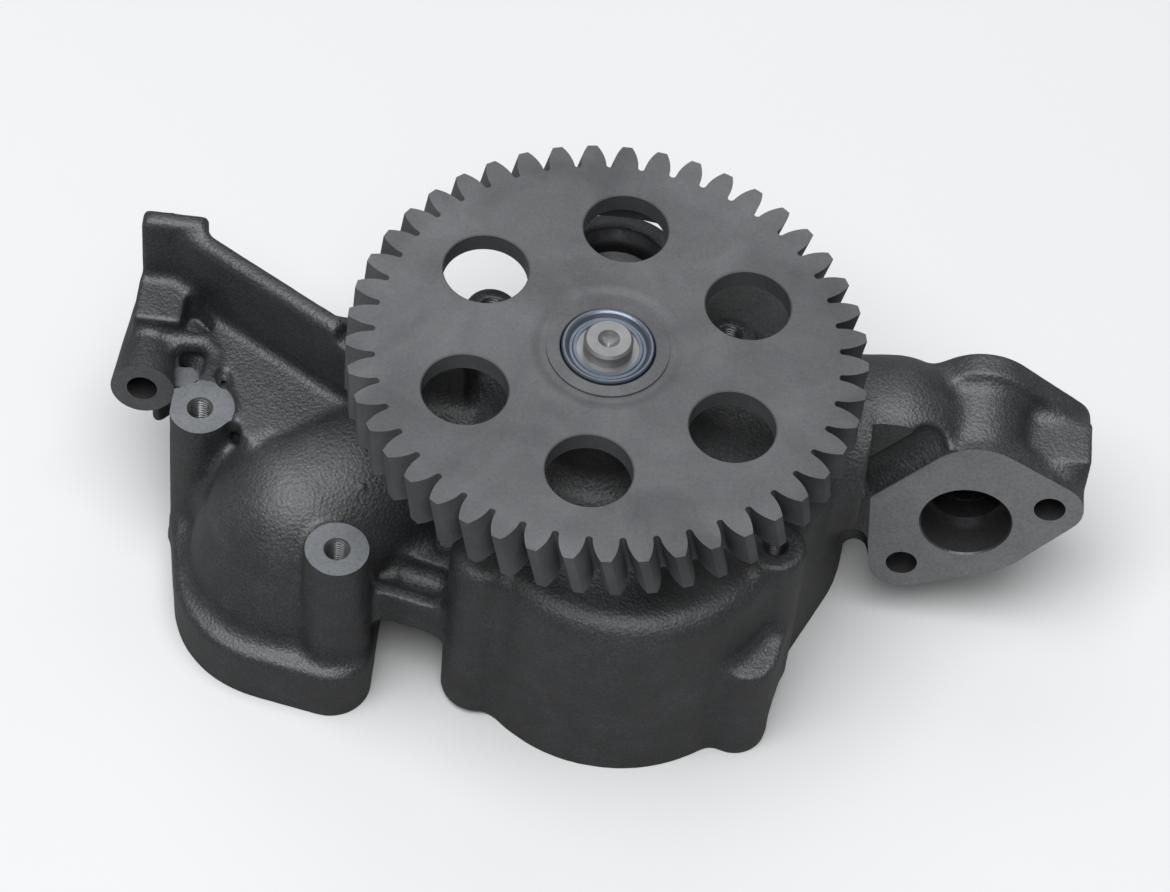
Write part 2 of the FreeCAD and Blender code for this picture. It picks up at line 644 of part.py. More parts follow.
def arm_block():
    """Delivery arm with its front flange, rear flange and the waist between them."""
    front = flange_placed(wrapped(flange_outline(), -FLANGE_THICKNESS, 0))
    rear_discs = [
        (REAR_LOBE_U, REAR_LOBE_V, FLANGE_LOBE_RADIUS),
        (FLANGE_CROWN_U, REAR_CROWN_V, FLANGE_CROWN_RADIUS),
        (REAR_ROUND_U, REAR_ROUND_V, REAR_ROUND_RADIUS),
    ]
    rear = wrapped(rear_discs, 0, REAR_THICKNESS)
    rear.Placement = FreeCAD.Placement(Vector(OUTLET_X, EAR_DEPTH, OUTLET_Z + REAR_RISE),
                                       FreeCAD.Rotation(Vector(1, 0, 0), 90))
    depth = EAR_DEPTH - 2
    waist = cylinder(WAIST_RADIUS, Vector(OUTLET_X, WAIST_FRONT_Y, OUTLET_Z + 3),
                     Vector(OUTLET_X, depth, OUTLET_Z + 6))
    crown = cylinder(CROWN_RADIUS, Vector(OUTLET_X, CROWN_FRONT_Y, OUTLET_Z + CROWN_FRONT_RISE),
                     Vector(OUTLET_X, depth, OUTLET_Z + CROWN_REAR_RISE))
    bolt_x = OUTLET_X + FLANGE_RIGHT_U
    bolt_z = OUTLET_Z + FLANGE_RIGHT_V
    bolt_boss = cylinder(FLANGE_LOBE_RADIUS - 1, Vector(bolt_x, BOLT_BOSS_FRONT_Y, bolt_z + 1),
                         Vector(bolt_x, depth, bolt_z + 1))
    bolt_pad = Part.makeBox(BOLT_PAD_SIZE, BOLT_PAD_SIZE, BOLT_PAD_HEIGHT,
                            Vector(bolt_x - BOLT_PAD_LEFT, BOLT_PAD_Y, bolt_z + 2))
    gusset = Part.makeBox(bolt_x - OUTLET_X, EAR_DEPTH - BOLT_PAD_Y, GUSSET_HEIGHT,
                          Vector(OUTLET_X, CROWN_FRONT_Y, bolt_z - GUSSET_DROP))
    elbow = Vector(ARM_KNEE_X, ARM_KNEE_Y, ARM_KNEE_Z)
    end = Vector(OUTLET_X, ARM_WRIST_Y, ARM_WRIST_Z)
    arm = cone_between(ARM_SHOULDER, ARM_SHOULDER_RADIUS, elbow, ARM_KNEE_RADIUS)
    hand = cone_between(elbow, ARM_KNEE_RADIUS, end, ARM_WRIST_RADIUS)
    knee = Part.makeSphere(ARM_KNEE_RADIUS, elbow)
    keel = Part.makeBox(KEEL_LENGTH, KEEL_WIDTH, KEEL_HEIGHT, Vector(KEEL_X, KEEL_Y, KEEL_Z))
    pillar = wrapped([(OUTLET_X - PILLAR_FROM, PILLAR_Y, PILLAR_RADIUS),
                      (OUTLET_X - PILLAR_TO, PILLAR_Y, PILLAR_RADIUS)], PILLAR_BOTTOM, PILLAR_TOP)
    return joined([front, rear, waist, crown, bolt_boss, bolt_pad, gusset, arm, hand, knee, keel,
                   pillar])


def cover_outline(inset):
    """Outline of the bottom cover, drawn in from the body's wall."""
    return [
        (BODY_X, BODY_Y, BODY_RADIUS - COVER_EDGE - inset),
        (0, 0, COVER_REAR_RADIUS - inset),
    ]


def pump_axes():
    return [(0.0, 0.0), (IDLER_X, IDLER_Y)]


def port_centre(side):
    """Middle of the suction (-1) or delivery (+1) port beside the gear mesh."""
    angle = math.radians(IDLER_AXIS_DEG + 90)
    return (IDLER_X / 2 + side * PORT_OFFSET * math.cos(angle),
            IDLER_Y / 2 + side * PORT_OFFSET * math.sin(angle))


def chamber_cutters():
    """Cover recess, gear chambers, ports and the bores of bushes and idler shaft."""
    cutters = [wrapped(cover_outline(0), -1, CHAMBER_FLOOR)]
    for x, y in pump_axes():
        cutters.append(upright(x, y, CHAMBER_RADIUS, CHAMBER_FLOOR - 1, CHAMBER_ROOF))
    for side in (-1, 1):
        x, y = port_centre(side)
        cutters.append(upright(x, y, PORT_RADIUS, CHAMBER_FLOOR + PORT_FLOOR, CHAMBER_ROOF - PORT_ROOF))
    cutters.append(upright(0, 0, BUSH_RADIUS, CHAMBER_ROOF - 1, BEARING_BOSS_TOP + 1))
    cutters.append(upright(IDLER_X, IDLER_Y, IDLER_SHAFT_RADIUS, CHAMBER_ROOF - 1, IDLER_SHAFT_TOP))
    return cutters


def passage_cutters():
    """Suction passage from the elbow and delivery passage to the flange."""
    suction_x, suction_y = port_centre(-1)
    inner = Vector(suction_x, suction_y, PORT_MIDDLE_Z)
    turn_point = Vector(TUBE_END_X - 6, TUBE_END_Y - 6, TUBE_AXIS_HEIGHT - 8)
    mouth = Vector(ELBOW_X, ELBOW_Y, SUCTION_TURN_Z)
    delivery_x, delivery_y = port_centre(1)
    outer = Vector(delivery_x, delivery_y, PORT_MIDDLE_Z)
    pocket = Vector(DELIVERY_POCKET_X, DELIVERY_POCKET_Y, PORT_MIDDLE_Z + 6)
    arm_turn = Vector(ARM_KNEE_X, ARM_KNEE_Y, ARM_KNEE_Z - 7)
    bore_end = Vector(OUTLET_X, 24, OUTLET_Z - 3)
    bore_start = Vector(OUTLET_X, face_y(OUTLET_Z), OUTLET_Z)
    step = bore_start + FACE_INWARD * OUTLET_STEP_DEPTH
    return [
        upright(ELBOW_X, ELBOW_Y, SUCTION_RADIUS, -1, SUCTION_STRAIGHT),
        cone_between(Vector(ELBOW_X, ELBOW_Y, SUCTION_STRAIGHT), SUCTION_RADIUS, mouth, PASSAGE_RADIUS + 3),
        Part.makeSphere(PASSAGE_RADIUS + 3, mouth),
        cylinder(PASSAGE_RADIUS + 3, mouth, turn_point),
        Part.makeSphere(PASSAGE_RADIUS + 3, turn_point),
        cylinder(PASSAGE_RADIUS, turn_point, inner),
        cylinder(PASSAGE_RADIUS, outer, pocket),
        upright(DELIVERY_POCKET_X, DELIVERY_POCKET_Y, DELIVERY_POCKET_RADIUS,
                PORT_MIDDLE_Z - 14, PORT_MIDDLE_Z + 20),
        cylinder(PASSAGE_RADIUS, pocket, arm_turn),
        Part.makeSphere(PASSAGE_RADIUS, arm_turn),
        cylinder(PASSAGE_RADIUS, arm_turn, bore_end),
        Part.makeSphere(OUTLET_STEP_RADIUS, bore_end),
        cylinder(OUTLET_STEP_RADIUS, step, bore_end),
        cylinder(OUTLET_RADIUS, bore_start - FACE_INWARD * 2, step),
    ]


def relief_cutters():
    """Relief valve bore, its seat, pressure gallery and spill hole."""
    gallery_end = Vector(DELIVERY_POCKET_X, DELIVERY_POCKET_Y, RELIEF_GALLERY_Z)
    start = gallery_mouth()
    return [
        upright(0, TOWER_Y, RELIEF_MOUTH_RADIUS, MOUTH_FLOOR, TOWER_TOP + 1),
        upright(0, TOWER_Y, RELIEF_BORE_RADIUS, RELIEF_SEAT_Z, MOUTH_FLOOR + 1),
        upright(0, TOWER_Y, RELIEF_SEAT_RADIUS, RELIEF_GALLERY_Z - 3, RELIEF_SEAT_Z + 1),
        cylinder(RELIEF_GALLERY_RADIUS, start, gallery_end),
        cylinder(RELIEF_GALLERY_RADIUS, gallery_end,
                 Vector(DELIVERY_POCKET_X, DELIVERY_POCKET_Y, PORT_MIDDLE_Z)),
        cylinder(GALLERY_PLUG_RADIUS, start, start + gallery_direction() * (GALLERY_PLUG_REACH + 1)),
        cylinder(GALLERY_PLUG_FLANGE_RADIUS + 0.5, start, start - gallery_direction() * 6),
        cylinder(RELIEF_SPILL_RADIUS, Vector(0, TOWER_Y, RELIEF_SPILL_Z),
                 Vector(0, TOWER_Y + TOWER_RADIUS + 2, RELIEF_SPILL_Z)),
    ]


def gallery_direction():
    aim = Vector(DELIVERY_POCKET_X, DELIVERY_POCKET_Y - TOWER_Y, 0)
    aim.normalize()
    return aim


def gallery_mouth():
    """Middle of the flat spot on the tower's wall where the pressure gallery is drilled in."""
    return Vector(0, TOWER_Y, RELIEF_GALLERY_Z) - gallery_direction() * (TOWER_RADIUS - GALLERY_SPOT_DEPTH)


def screw_places():
    """Cover screws round the front and the rear of the gear chambers."""
    places = []
    for turn in SCREW_FRONT_TURNS:
        at = polar(SCREW_FRONT_CIRCLE, IDLER_AXIS_DEG + turn)
        places.append((BODY_X + at.x, BODY_Y + at.y))
    for turn in SCREW_REAR_TURNS:
        at = polar(SCREW_REAR_CIRCLE, IDLER_AXIS_DEG + 180 + turn)
        places.append((at.x, at.y))
    return places


def dowel_places():
    places = []
    for turn in DOWEL_TURNS:
        at = polar(SCREW_FRONT_CIRCLE, IDLER_AXIS_DEG + turn)
        places.append((BODY_X + at.x, BODY_Y + at.y))
    return places


def bolt_cutters():
    """Threaded holes of the casting and the through holes of its ears."""
    cutters = [
        tapped(RIGHT_COLUMN_X, RIGHT_COLUMN_Y, RIGHT_COLUMN_TOP),
        tapped(POST_LEFT_X, POST_LEFT_Y, POST_TOP),
        tapped(POST_FRONT_X, POST_FRONT_Y, POST_TOP),
        tapped(REAR_COLUMN_X, REAR_COLUMN_Y, REAR_COLUMN_TOP),
        tapped(-REAR_COLUMN_X, REAR_COLUMN_Y, REAR_COLUMN_TOP),
    ]
    for u, v in ((FLANGE_RIGHT_U, FLANGE_RIGHT_V), (FLANGE_LEFT_U, FLANGE_LEFT_V)):
        z = OUTLET_Z + v * math.cos(FACE_TILT)
        middle = Vector(OUTLET_X + u, face_y(z), z)
        cutters.append(cylinder(FLANGE_HOLE_RADIUS, middle - FACE_INWARD * 3, middle + FACE_INWARD * 60))
    ear = Vector(EAR_BOSS_X, face_y(EAR_BOSS_FACE_Z), EAR_BOSS_FACE_Z)
    cutters.append(cylinder(EAR_HOLE_RADIUS, ear - FACE_INWARD * 3, ear + FACE_INWARD * 60))
    for x, y in screw_places():
        cutters.append(upright(x, y, SCREW_RADIUS, CHAMBER_FLOOR - 1, COVER_THICKNESS + SCREW_REACH + 2))
    for x, y in dowel_places():
        cutters.append(upright(x, y, DOWEL_RADIUS, CHAMBER_FLOOR - 1, COVER_THICKNESS + DOWEL_LENGTH / 2))
    return cutters


def seal_groove():
    outer = SEAL_RING_RADIUS + SEAL_SECTION_RADIUS + SEAL_PLAY
    inner = SEAL_RING_RADIUS - SEAL_SECTION_RADIUS - SEAL_PLAY
    depth = 2 * SEAL_SECTION_RADIUS + SEAL_PLAY
    return turned([(inner, -1), (outer, -1), (outer, depth), (inner, depth)], ELBOW_X, ELBOW_Y)


def pump_housing():
    """The casting with every machined bore and face."""
    solid = joined([body_block(), elbow_block(), bridge_block(), bracket_block(), arm_block()])
    cutters = chamber_cutters() + passage_cutters() + relief_cutters() + bolt_cutters()
    cutters.append(seal_groove())
    cutters.append(above_mount_plane())
    return as_solid(solid.cut(cutters))


def above_mount_plane():
    """Everything in front of the ear's and the flange's machined plane, near those two faces."""
    blocks = []
    for x, width in ((EAR_BOSS_X, 22.0), (OUTLET_X + 2, 76.0)):
        block = Part.makeBox(width, 120, 40, Vector(-width / 2, -60, 0))
        turn = FreeCAD.Rotation(Vector(1, 0, 0), 90 - FACE_TILT_DEG)
        block.Placement = FreeCAD.Placement(Vector(x, face_y(OUTLET_Z), OUTLET_Z), turn)
        blocks.append(block)
    return blocks[0].fuse(blocks[1])


def bottom_cover():
    """Flat cover with the shaft bores, counterbored screw holes and dowel holes."""
    plate = wrapped(cover_outline(COVER_FIT), 0, COVER_THICKNESS)
    cutters = [
        upright(0, 0, BUSH_RADIUS, COVER_THICKNESS - LOWER_BUSH_LENGTH, COVER_THICKNESS + 1),
        upright(IDLER_X, IDLER_Y, IDLER_SHAFT_RADIUS, IDLER_SHAFT_BOTTOM, COVER_THICKNESS + 1),
    ]
    for x, y in screw_places():
        cutters.append(upright(x, y, SCREW_RADIUS + 0.3, -1, COVER_THICKNESS + 1))
        cutters.append(upright(x, y, SCREW_HEAD_RADIUS + 0.5, -1, SCREW_HEAD_SINK + SCREW_HEAD_HEIGHT))
    for x, y in dowel_places():
        cutters.append(upright(x, y, DOWEL_RADIUS, COVER_THICKNESS - DOWEL_LENGTH / 2, COVER_THICKNESS + 1))
    return as_solid(plate.cut(cutters))


def cover_gasket():
    sheet = wrapped(cover_outline(COVER_FIT), COVER_THICKNESS, CHAMBER_FLOOR)
    cutters = [upright(x, y, CHAMBER_RADIUS, COVER_THICKNESS - 1, CHAMBER_FLOOR + 1) for x, y in pump_axes()]
    for x, y in screw_places() + dowel_places():
        cutters.append(upright(x, y, SCREW_RADIUS + 0.3, COVER_THICKNESS - 1, CHAMBER_FLOOR + 1))
    return as_solid(sheet.cut(cutters))


def cover_screws():
    """Socket-head screws of the cover, as a group of separate solids."""
    screws = []
    low = SCREW_HEAD_SINK
    neck = low + SCREW_HEAD_HEIGHT
    top = COVER_THICKNESS + SCREW_REACH
    for x, y in screw_places():
        bar = turned([
            (0, low), (SCREW_HEAD_RADIUS, low), (SCREW_HEAD_RADIUS, neck), (SCREW_RADIUS, neck),
            (SCREW_RADIUS, top - 1), (SCREW_RADIUS - 1, top), (0, top),
        ], x, y)
        screws.append(bar.cut(hexagon(x, y, SCREW_SOCKET, 0, low + SCREW_SOCKET_DEPTH)))
    return Part.makeCompound(screws)


def hexagon(x, y, across_flats, bottom, top):
    corner = across_flats / math.sqrt(3)
    points = [(x + corner * math.cos(math.radians(60 * k)), y + corner * math.sin(math.radians(60 * k)))
              for k in range(6)]
    return slab(points, bottom, top)


def dowel_pins():
    pins = []
    bottom = COVER_THICKNESS - DOWEL_LENGTH / 2
    top = bottom + DOWEL_LENGTH
    for x, y in dowel_places():
        pins.append(turned([
            (0, bottom), (DOWEL_RADIUS - 0.5, bottom), (DOWEL_RADIUS, bottom + 0.5),
            (DOWEL_RADIUS, top - 0.5), (DOWEL_RADIUS - 0.5, top), (0, top),
        ], x, y))
    return Part.makeCompound(pins)


def involute(base_radius, radius):
    """Unwound angle of an involute at a radius."""
    ratio = base_radius / radius
    return math.sqrt(1 / ratio ** 2 - 1) - math.acos(ratio)


def pump_gear_outline(turn_deg):
    """Outline of a ten-tooth pump gear: involute flanks, tip arcs and straight roots."""
    base = PITCH_RADIUS * math.cos(math.radians(GEAR_PRESSURE_DEG))
    half_pitch = math.pi / (2 * GEAR_TEETH) - GEAR_BACKLASH / 4 / PITCH_RADIUS
    offset = half_pitch + involute(base, PITCH_RADIUS)
    low = max(base, GEAR_ROOT_RADIUS)
    radii = [low + (GEAR_TIP_RADIUS - low) * step / 4 for step in range(5)]
    edges = []
    last = None
    first = None
    for tooth in range(GEAR_TEETH):
        centre = math.radians(turn_deg) + 2 * math.pi * tooth / GEAR_TEETH
        rising = [turned_point(r, centre - offset + involute(base, r)) for r in radii]
        falling = [turned_point(r, centre + offset - involute(base, r)) for r in reversed(radii)]
        root_in = turned_point(GEAR_ROOT_RADIUS, centre - offset)
        root_out = turned_point(GEAR_ROOT_RADIUS, centre + offset)
        if last is not None:
            edges.append(Part.LineSegment(last, root_in).toShape())
        if first is None:
            first = root_in
        edges.append(Part.LineSegment(root_in, rising[0]).toShape())
        edges.append(smooth_edge(rising))
        tip = turned_point(GEAR_TIP_RADIUS, centre)
        edges.append(Part.Arc(rising[-1], tip, falling[0]).toShape())
        edges.append(smooth_edge(falling))
        edges.append(Part.LineSegment(falling[-1], root_out).toShape())
        last = root_out
    edges.append(Part.LineSegment(last, first).toShape())
    return Part.Wire(edges)


def turned_point(radius, angle):
    return Vector(radius * math.cos(angle), radius * math.sin(angle), 0)


def smooth_edge(points):
    curve = Part.BSplineCurve()
    curve.interpolate(points)
    return curve.toShape()


def pump_gear(x, y, turn_deg, bore_radius):
    """Spur pump gear between the chamber's floor and roof."""
    outline = pump_gear_outline(turn_deg)
    gear = Part.Face(outline).extrude(UP * GEAR_FACE)
    gear = gear.cut(upright(0, 0, bore_radius, -1, GEAR_FACE + 1))
    gear.translate(Vector(x, y, GEAR_BOTTOM))
    return gear


def key_block():
    """Parallel key half sunk in the shaft, at the side away from the idler."""
    bottom = GEAR_BOTTOM + (GEAR_FACE - KEY_LENGTH) / 2
    corner = Vector(SHAFT_RADIUS - KEY_HEIGHT / 2, -KEY_WIDTH / 2, bottom)
    key = Part.makeBox(KEY_HEIGHT, KEY_WIDTH, KEY_LENGTH, corner)
    key.rotate(Vector(0, 0, 0), UP, IDLER_AXIS_DEG + 180)
    return key


def pump_driving_gear():
    gear = pump_gear(0, 0, IDLER_AXIS_DEG, SHAFT_RADIUS)
    way = Part.makeBox(KEY_HEIGHT / 2 + SHAFT_RADIUS, KEY_WIDTH, GEAR_FACE + 2,
                       Vector(0, -KEY_WIDTH / 2, GEAR_BOTTOM - 1))
    way.rotate(Vector(0, 0, 0), UP, IDLER_AXIS_DEG + 180)
    return as_solid(gear.cut(way))


def pump_driven_gear():
    """Idler gear: a tooth gap faces the driving gear's tooth."""
    gap_turn = IDLER_AXIS_DEG + 180 + 180 / GEAR_TEETH
    return as_solid(pump_gear(IDLER_X, IDLER_Y, gap_turn, IDLER_SHAFT_RADIUS + IDLER_BUSH_WALL))


def tube_between(x, y, inner, outer, bottom, top, chamfer=0.4):
    return turned([
        (inner, bottom), (outer - chamfer, bottom), (outer, bottom + chamfer),
        (outer, top - chamfer), (outer - chamfer, top), (inner, top),
    ], x, y)


def idler_bush():
    return tube_between(IDLER_X, IDLER_Y, IDLER_SHAFT_RADIUS + RUNNING_CLEARANCE,
                        IDLER_SHAFT_RADIUS + IDLER_BUSH_WALL, GEAR_BOTTOM, GEAR_BOTTOM + GEAR_FACE)


def idler_shaft():
    return turned([
        (0, IDLER_SHAFT_BOTTOM), (IDLER_SHAFT_RADIUS - 0.6, IDLER_SHAFT_BOTTOM),
        (IDLER_SHAFT_RADIUS, IDLER_SHAFT_BOTTOM + 0.6), (IDLER_SHAFT_RADIUS, IDLER_SHAFT_TOP - 0.6),
        (IDLER_SHAFT_RADIUS - 0.6, IDLER_SHAFT_TOP), (0, IDLER_SHAFT_TOP),
    ], IDLER_X, IDLER_Y)


def upper_bush():
    top = BEARING_BOSS_TOP
    return tube_between(0, 0, SHAFT_RADIUS + RUNNING_CLEARANCE, BUSH_RADIUS, top - UPPER_BUSH_LENGTH, top)


def lower_bush():
    return tube_between(0, 0, SHAFT_RADIUS + RUNNING_CLEARANCE, BUSH_RADIUS,
                        COVER_THICKNESS - LOWER_BUSH_LENGTH, COVER_THICKNESS)


def drive_shaft():
    """Turned shaft with the keyway, a stepped end and its centre-drill hole."""
    shoulder = WHEEL_TOP + RING_PROUD - RING_DISH
    profile = [
        (0, SHAFT_BOTTOM), (SHAFT_RADIUS - SHAFT_CHAMFER, SHAFT_BOTTOM),
        (SHAFT_RADIUS, SHAFT_BOTTOM + SHAFT_CHAMFER), (SHAFT_RADIUS, shoulder),
        (SHAFT_END_RADIUS, shoulder), (SHAFT_END_RADIUS, SHAFT_TOP - SHAFT_CHAMFER),
        (SHAFT_END_RADIUS - SHAFT_CHAMFER, SHAFT_TOP), (SHAFT_CENTRE_RADIUS, SHAFT_TOP),
        (SHAFT_CENTRE_RADIUS * 0.45, SHAFT_TOP - SHAFT_CENTRE_DEPTH * 0.6),
        (0, SHAFT_TOP - SHAFT_CENTRE_DEPTH),
    ]
    return as_solid(turned(profile).cut(key_block()))


def shaft_key():
    return key_block()


def wheel_outline(turn_deg, height):
    """Outline of the drive wheel's deep teeth with round roots."""
    pitch = 2 * math.pi / WHEEL_TEETH
    root = WHEEL_ROOT_RADIUS
    tip = WHEEL_TIP_RADIUS
    half_tip = WHEEL_TIP_LAND / 2 / tip
    foot = root + WHEEL_ROOT_FILLET
    half_base = WHEEL_TOOTH_BASE / 2 / foot
    middle_radius = (root + tip) / 2 + 0.6
    half_middle = (half_tip * tip * 0.44 + half_base * root * 0.56) / middle_radius + 0.0065
    edges = []
    start = None
    last = None
    lift = Vector(0, 0, height)
    for tooth in range(WHEEL_TEETH):
        centre = math.radians(WHEEL_PHASE_DEG + turn_deg) + pitch * tooth
        foot_in = turned_point(foot, centre - half_base) + lift
        flank_in = turned_point(middle_radius, centre - half_middle) + lift
        tip_in = turned_point(tip, centre - half_tip) + lift
        crown = turned_point(tip, centre) + lift
        tip_out = turned_point(tip, centre + half_tip) + lift
        flank_out = turned_point(middle_radius, centre + half_middle) + lift
        foot_out = turned_point(foot, centre + half_base) + lift
        if last is not None:
            bottom = turned_point(root, centre - pitch / 2) + lift
            edges.append(Part.Arc(last, bottom, foot_in).toShape())
        if start is None:
            start = foot_in
        edges.append(Part.Arc(foot_in, flank_in, tip_in).toShape())
        edges.append(Part.Arc(tip_in, crown, tip_out).toShape())
        edges.append(Part.Arc(tip_out, flank_out, foot_out).toShape())
        last = foot_out
    closing = math.radians(WHEEL_PHASE_DEG + turn_deg) - pitch / 2
    edges.append(Part.Arc(last, turned_point(root, closing) + lift, start).toShape())
    return Part.Wire(edges)


def drive_wheel():
    """Helical wheel: toothed rim, thin web with round holes, and a hub recessed on top."""
    pitch_radius = WHEEL_MODULE * WHEEL_TEETH / 2
    twist = math.degrees(WHEEL_FACE * math.tan(math.radians(WHEEL_HELIX_DEG)) / pitch_radius)
    lower = wheel_outline(twist, WHEEL_BOTTOM)
    upper = wheel_outline(0.0, WHEEL_TOP)
    solid = Part.makeLoft([lower, upper], True, True)
    rim_inner = WHEEL_ROOT_RADIUS - WHEEL_RIM_WIDTH
    hollow = turned([
        (WHEEL_HUB_RADIUS, WHEEL_BOTTOM - 1), (rim_inner + 1.2, WHEEL_BOTTOM - 1),
        (rim_inner, WHEEL_TOP - WHEEL_WEB - 1.5), (rim_inner - 1.5, WHEEL_TOP - WHEEL_WEB),
        (WHEEL_HUB_RADIUS + 1.5, WHEEL_TOP - WHEEL_WEB), (WHEEL_HUB_RADIUS, WHEEL_TOP - WHEEL_WEB - 1.5),
    ])
    recess = [(WHEEL_RECESS_INNER, WHEEL_TOP + 1), (WHEEL_RECESS_INNER, WHEEL_TOP - WHEEL_RECESS_DEPTH)]
    for share, depth in WHEEL_RECESS_PROFILE:
        radius = WHEEL_RECESS_INNER + share * WHEEL_RECESS_WIDTH
        recess.append((radius, WHEEL_TOP - depth * WHEEL_RECESS_DEPTH))
    recess.append((WHEEL_RECESS_INNER + WHEEL_RECESS_WIDTH, WHEEL_TOP + 1))
    cutters = [hollow, turned(recess)]
    floor = WHEEL_BOTTOM + WHEEL_FLOOR
    bore = turned([
        (0, WHEEL_BOTTOM - 1), (SHAFT_RADIUS, WHEEL_BOTTOM - 1), (SHAFT_RADIUS, floor),
        (WHEEL_BORE_RADIUS - 0.4, floor), (WHEEL_BORE_RADIUS - 0.4, WHEEL_TOP - WHEEL_FLOOR),
        (WHEEL_BORE_RADIUS, WHEEL_TOP - 2), (WHEEL_BORE_RADIUS, WHEEL_TOP - 0.3),
        (WHEEL_BORE_RADIUS + 0.3, WHEEL_TOP), (WHEEL_BORE_RADIUS + 0.3, WHEEL_TOP + 1),
        (0, WHEEL_TOP + 1),
    ])
    cutters.append(bore)
    for index in range(WHEEL_HOLES):
        at = polar(WHEEL_HOLE_CIRCLE, WHEEL_HOLE_PHASE_DEG + index * 360 / WHEEL_HOLES)
        cutters.append(turned([
            (0, WHEEL_TOP - WHEEL_WEB - 1), (WHEEL_HOLE_RADIUS, WHEEL_TOP - WHEEL_WEB - 1),
            (WHEEL_HOLE_RADIUS, WHEEL_TOP - 0.4), (WHEEL_HOLE_RADIUS + 0.8, WHEEL_TOP + 0.4),
            (0, WHEEL_TOP + 0.4),
        ], at.x, at.y))
    return as_solid(solid.cut(cutters))


def hub_ring():
    """Dished clamping ring pressed between the wheel and the shaft."""
    bottom = WHEEL_BOTTOM + WHEEL_FLOOR
    top = WHEEL_TOP + RING_PROUD
    seat = WHEEL_BORE_RADIUS - 0.4
    return turned([
        (SHAFT_RADIUS, bottom), (seat, bottom), (seat, WHEEL_TOP - WHEEL_FLOOR),
        (WHEEL_BORE_RADIUS - RING_GAP, WHEEL_TOP - 2.5), (RING_RADIUS, top - 0.5), (RING_RADIUS - 0.4, top),
        (RING_RADIUS - 1.0, top), (RING_RADIUS - 1.6, top - 0.4), (SHAFT_RADIUS + 2.2, top - RING_DISH),
        (SHAFT_RADIUS + 1.4, top - RING_DISH), (SHAFT_RADIUS + 1.0, top - RING_DISH + 0.5),
        (SHAFT_RADIUS, top - RING_DISH + 0.5),
    ])


def thrust_washer():
    return tube_between(0, 0, SHAFT_RADIUS + 0.2, THRUST_WASHER_RADIUS,
                        BEARING_BOSS_TOP, WHEEL_BOTTOM - 0.1, 0.3)


def relief_piston():
    """Cup-shaped piston that closes the seat."""
    outer = RELIEF_BORE_RADIUS - RUNNING_CLEARANCE
    inner = outer - PISTON_WALL
    top = PISTON_BOTTOM + PISTON_LENGTH
    return turned([
        (0, PISTON_BOTTOM), (outer - 1.0, PISTON_BOTTOM), (outer, PISTON_BOTTOM + 1.0),
        (outer, top - 0.5), (outer - 0.5, top), (inner, top),
        (inner, PISTON_BOTTOM + 4), (0, PISTON_BOTTOM + 4),
    ], 0, TOWER_Y)


def relief_plug():
    """Plug of the valve with a socket hexagon, its thread in the valve's bore."""
    seat = MOUTH_FLOOR + WASHER_THICKNESS
    solid = turned([
        (0, MOUTH_FLOOR - PLUG_THREAD_LENGTH), (RELIEF_BORE_RADIUS - 1, MOUTH_FLOOR - PLUG_THREAD_LENGTH),
        (RELIEF_BORE_RADIUS, MOUTH_FLOOR - PLUG_THREAD_LENGTH + 1), (RELIEF_BORE_RADIUS, seat),
        (PLUG_FLANGE_RADIUS, seat), (PLUG_FLANGE_RADIUS, seat + PLUG_FLANGE - 0.8),
        (PLUG_FLANGE_RADIUS - 0.8, seat + PLUG_FLANGE), (0, seat + PLUG_FLANGE),
    ], 0, TOWER_Y)
    socket = hexagon(0, TOWER_Y, PLUG_HEX, seat + PLUG_FLANGE - PLUG_HEX_DEPTH, seat + PLUG_FLANGE + 1)
    return as_solid(solid.cut(socket))


def relief_washer():
    return tube_between(0, TOWER_Y, RELIEF_BORE_RADIUS + 0.1, PLUG_FLANGE_RADIUS,
                        MOUTH_FLOOR, MOUTH_FLOOR + WASHER_THICKNESS, 0.2)


def relief_spring():
    """Compression spring between the piston's floor and the plug."""
    bottom = PISTON_BOTTOM + 4 + SPRING_WIRE_RADIUS
    top = MOUTH_FLOOR - PLUG_THREAD_LENGTH - SPRING_WIRE_RADIUS
    radius = RELIEF_BORE_RADIUS - PISTON_WALL - SPRING_PLAY - SPRING_WIRE_RADIUS
    pitch = (top - bottom) / SPRING_COILS
    path = Part.Wire(Part.makeHelix(pitch, top - bottom, radius).Edges)
    corners = []
    for side in range(SPRING_WIRE_SIDES):
        angle = 2 * math.pi * (side + 0.5) / SPRING_WIRE_SIDES
        corners.append(Vector(radius + SPRING_WIRE_RADIUS * math.cos(angle), 0,
                              SPRING_WIRE_RADIUS * math.sin(angle)))
    section = Part.makePolygon(corners + [corners[0]])
    coil = path.makePipeShell([section], True, True)
    coil.translate(Vector(0, TOWER_Y, bottom))
    return as_solid(coil)


def along_gallery(solid):
    """Moves a piece made about the Z axis to the pressure gallery's mouth, Z pointing outwards."""
    solid.Placement = FreeCAD.Placement(gallery_mouth(), FreeCAD.Rotation(UP, gallery_direction() * -1))
    return as_solid(solid)


def gallery_plug():
    seat = WASHER_THICKNESS
    head = seat + GALLERY_PLUG_FLANGE
    solid = turned([
        (0, -GALLERY_PLUG_REACH), (GALLERY_PLUG_RADIUS - 0.8, -GALLERY_PLUG_REACH),
        (GALLERY_PLUG_RADIUS, -GALLERY_PLUG_REACH + 0.8), (GALLERY_PLUG_RADIUS, seat),
        (GALLERY_PLUG_FLANGE_RADIUS, seat), (GALLERY_PLUG_FLANGE_RADIUS, head), (0, head),
    ])
    nut = hexagon(0, 0, GALLERY_PLUG_HEX, head - 0.5, head + GALLERY_PLUG_HEX_HEIGHT)
    return along_gallery(joined([solid, nut]))


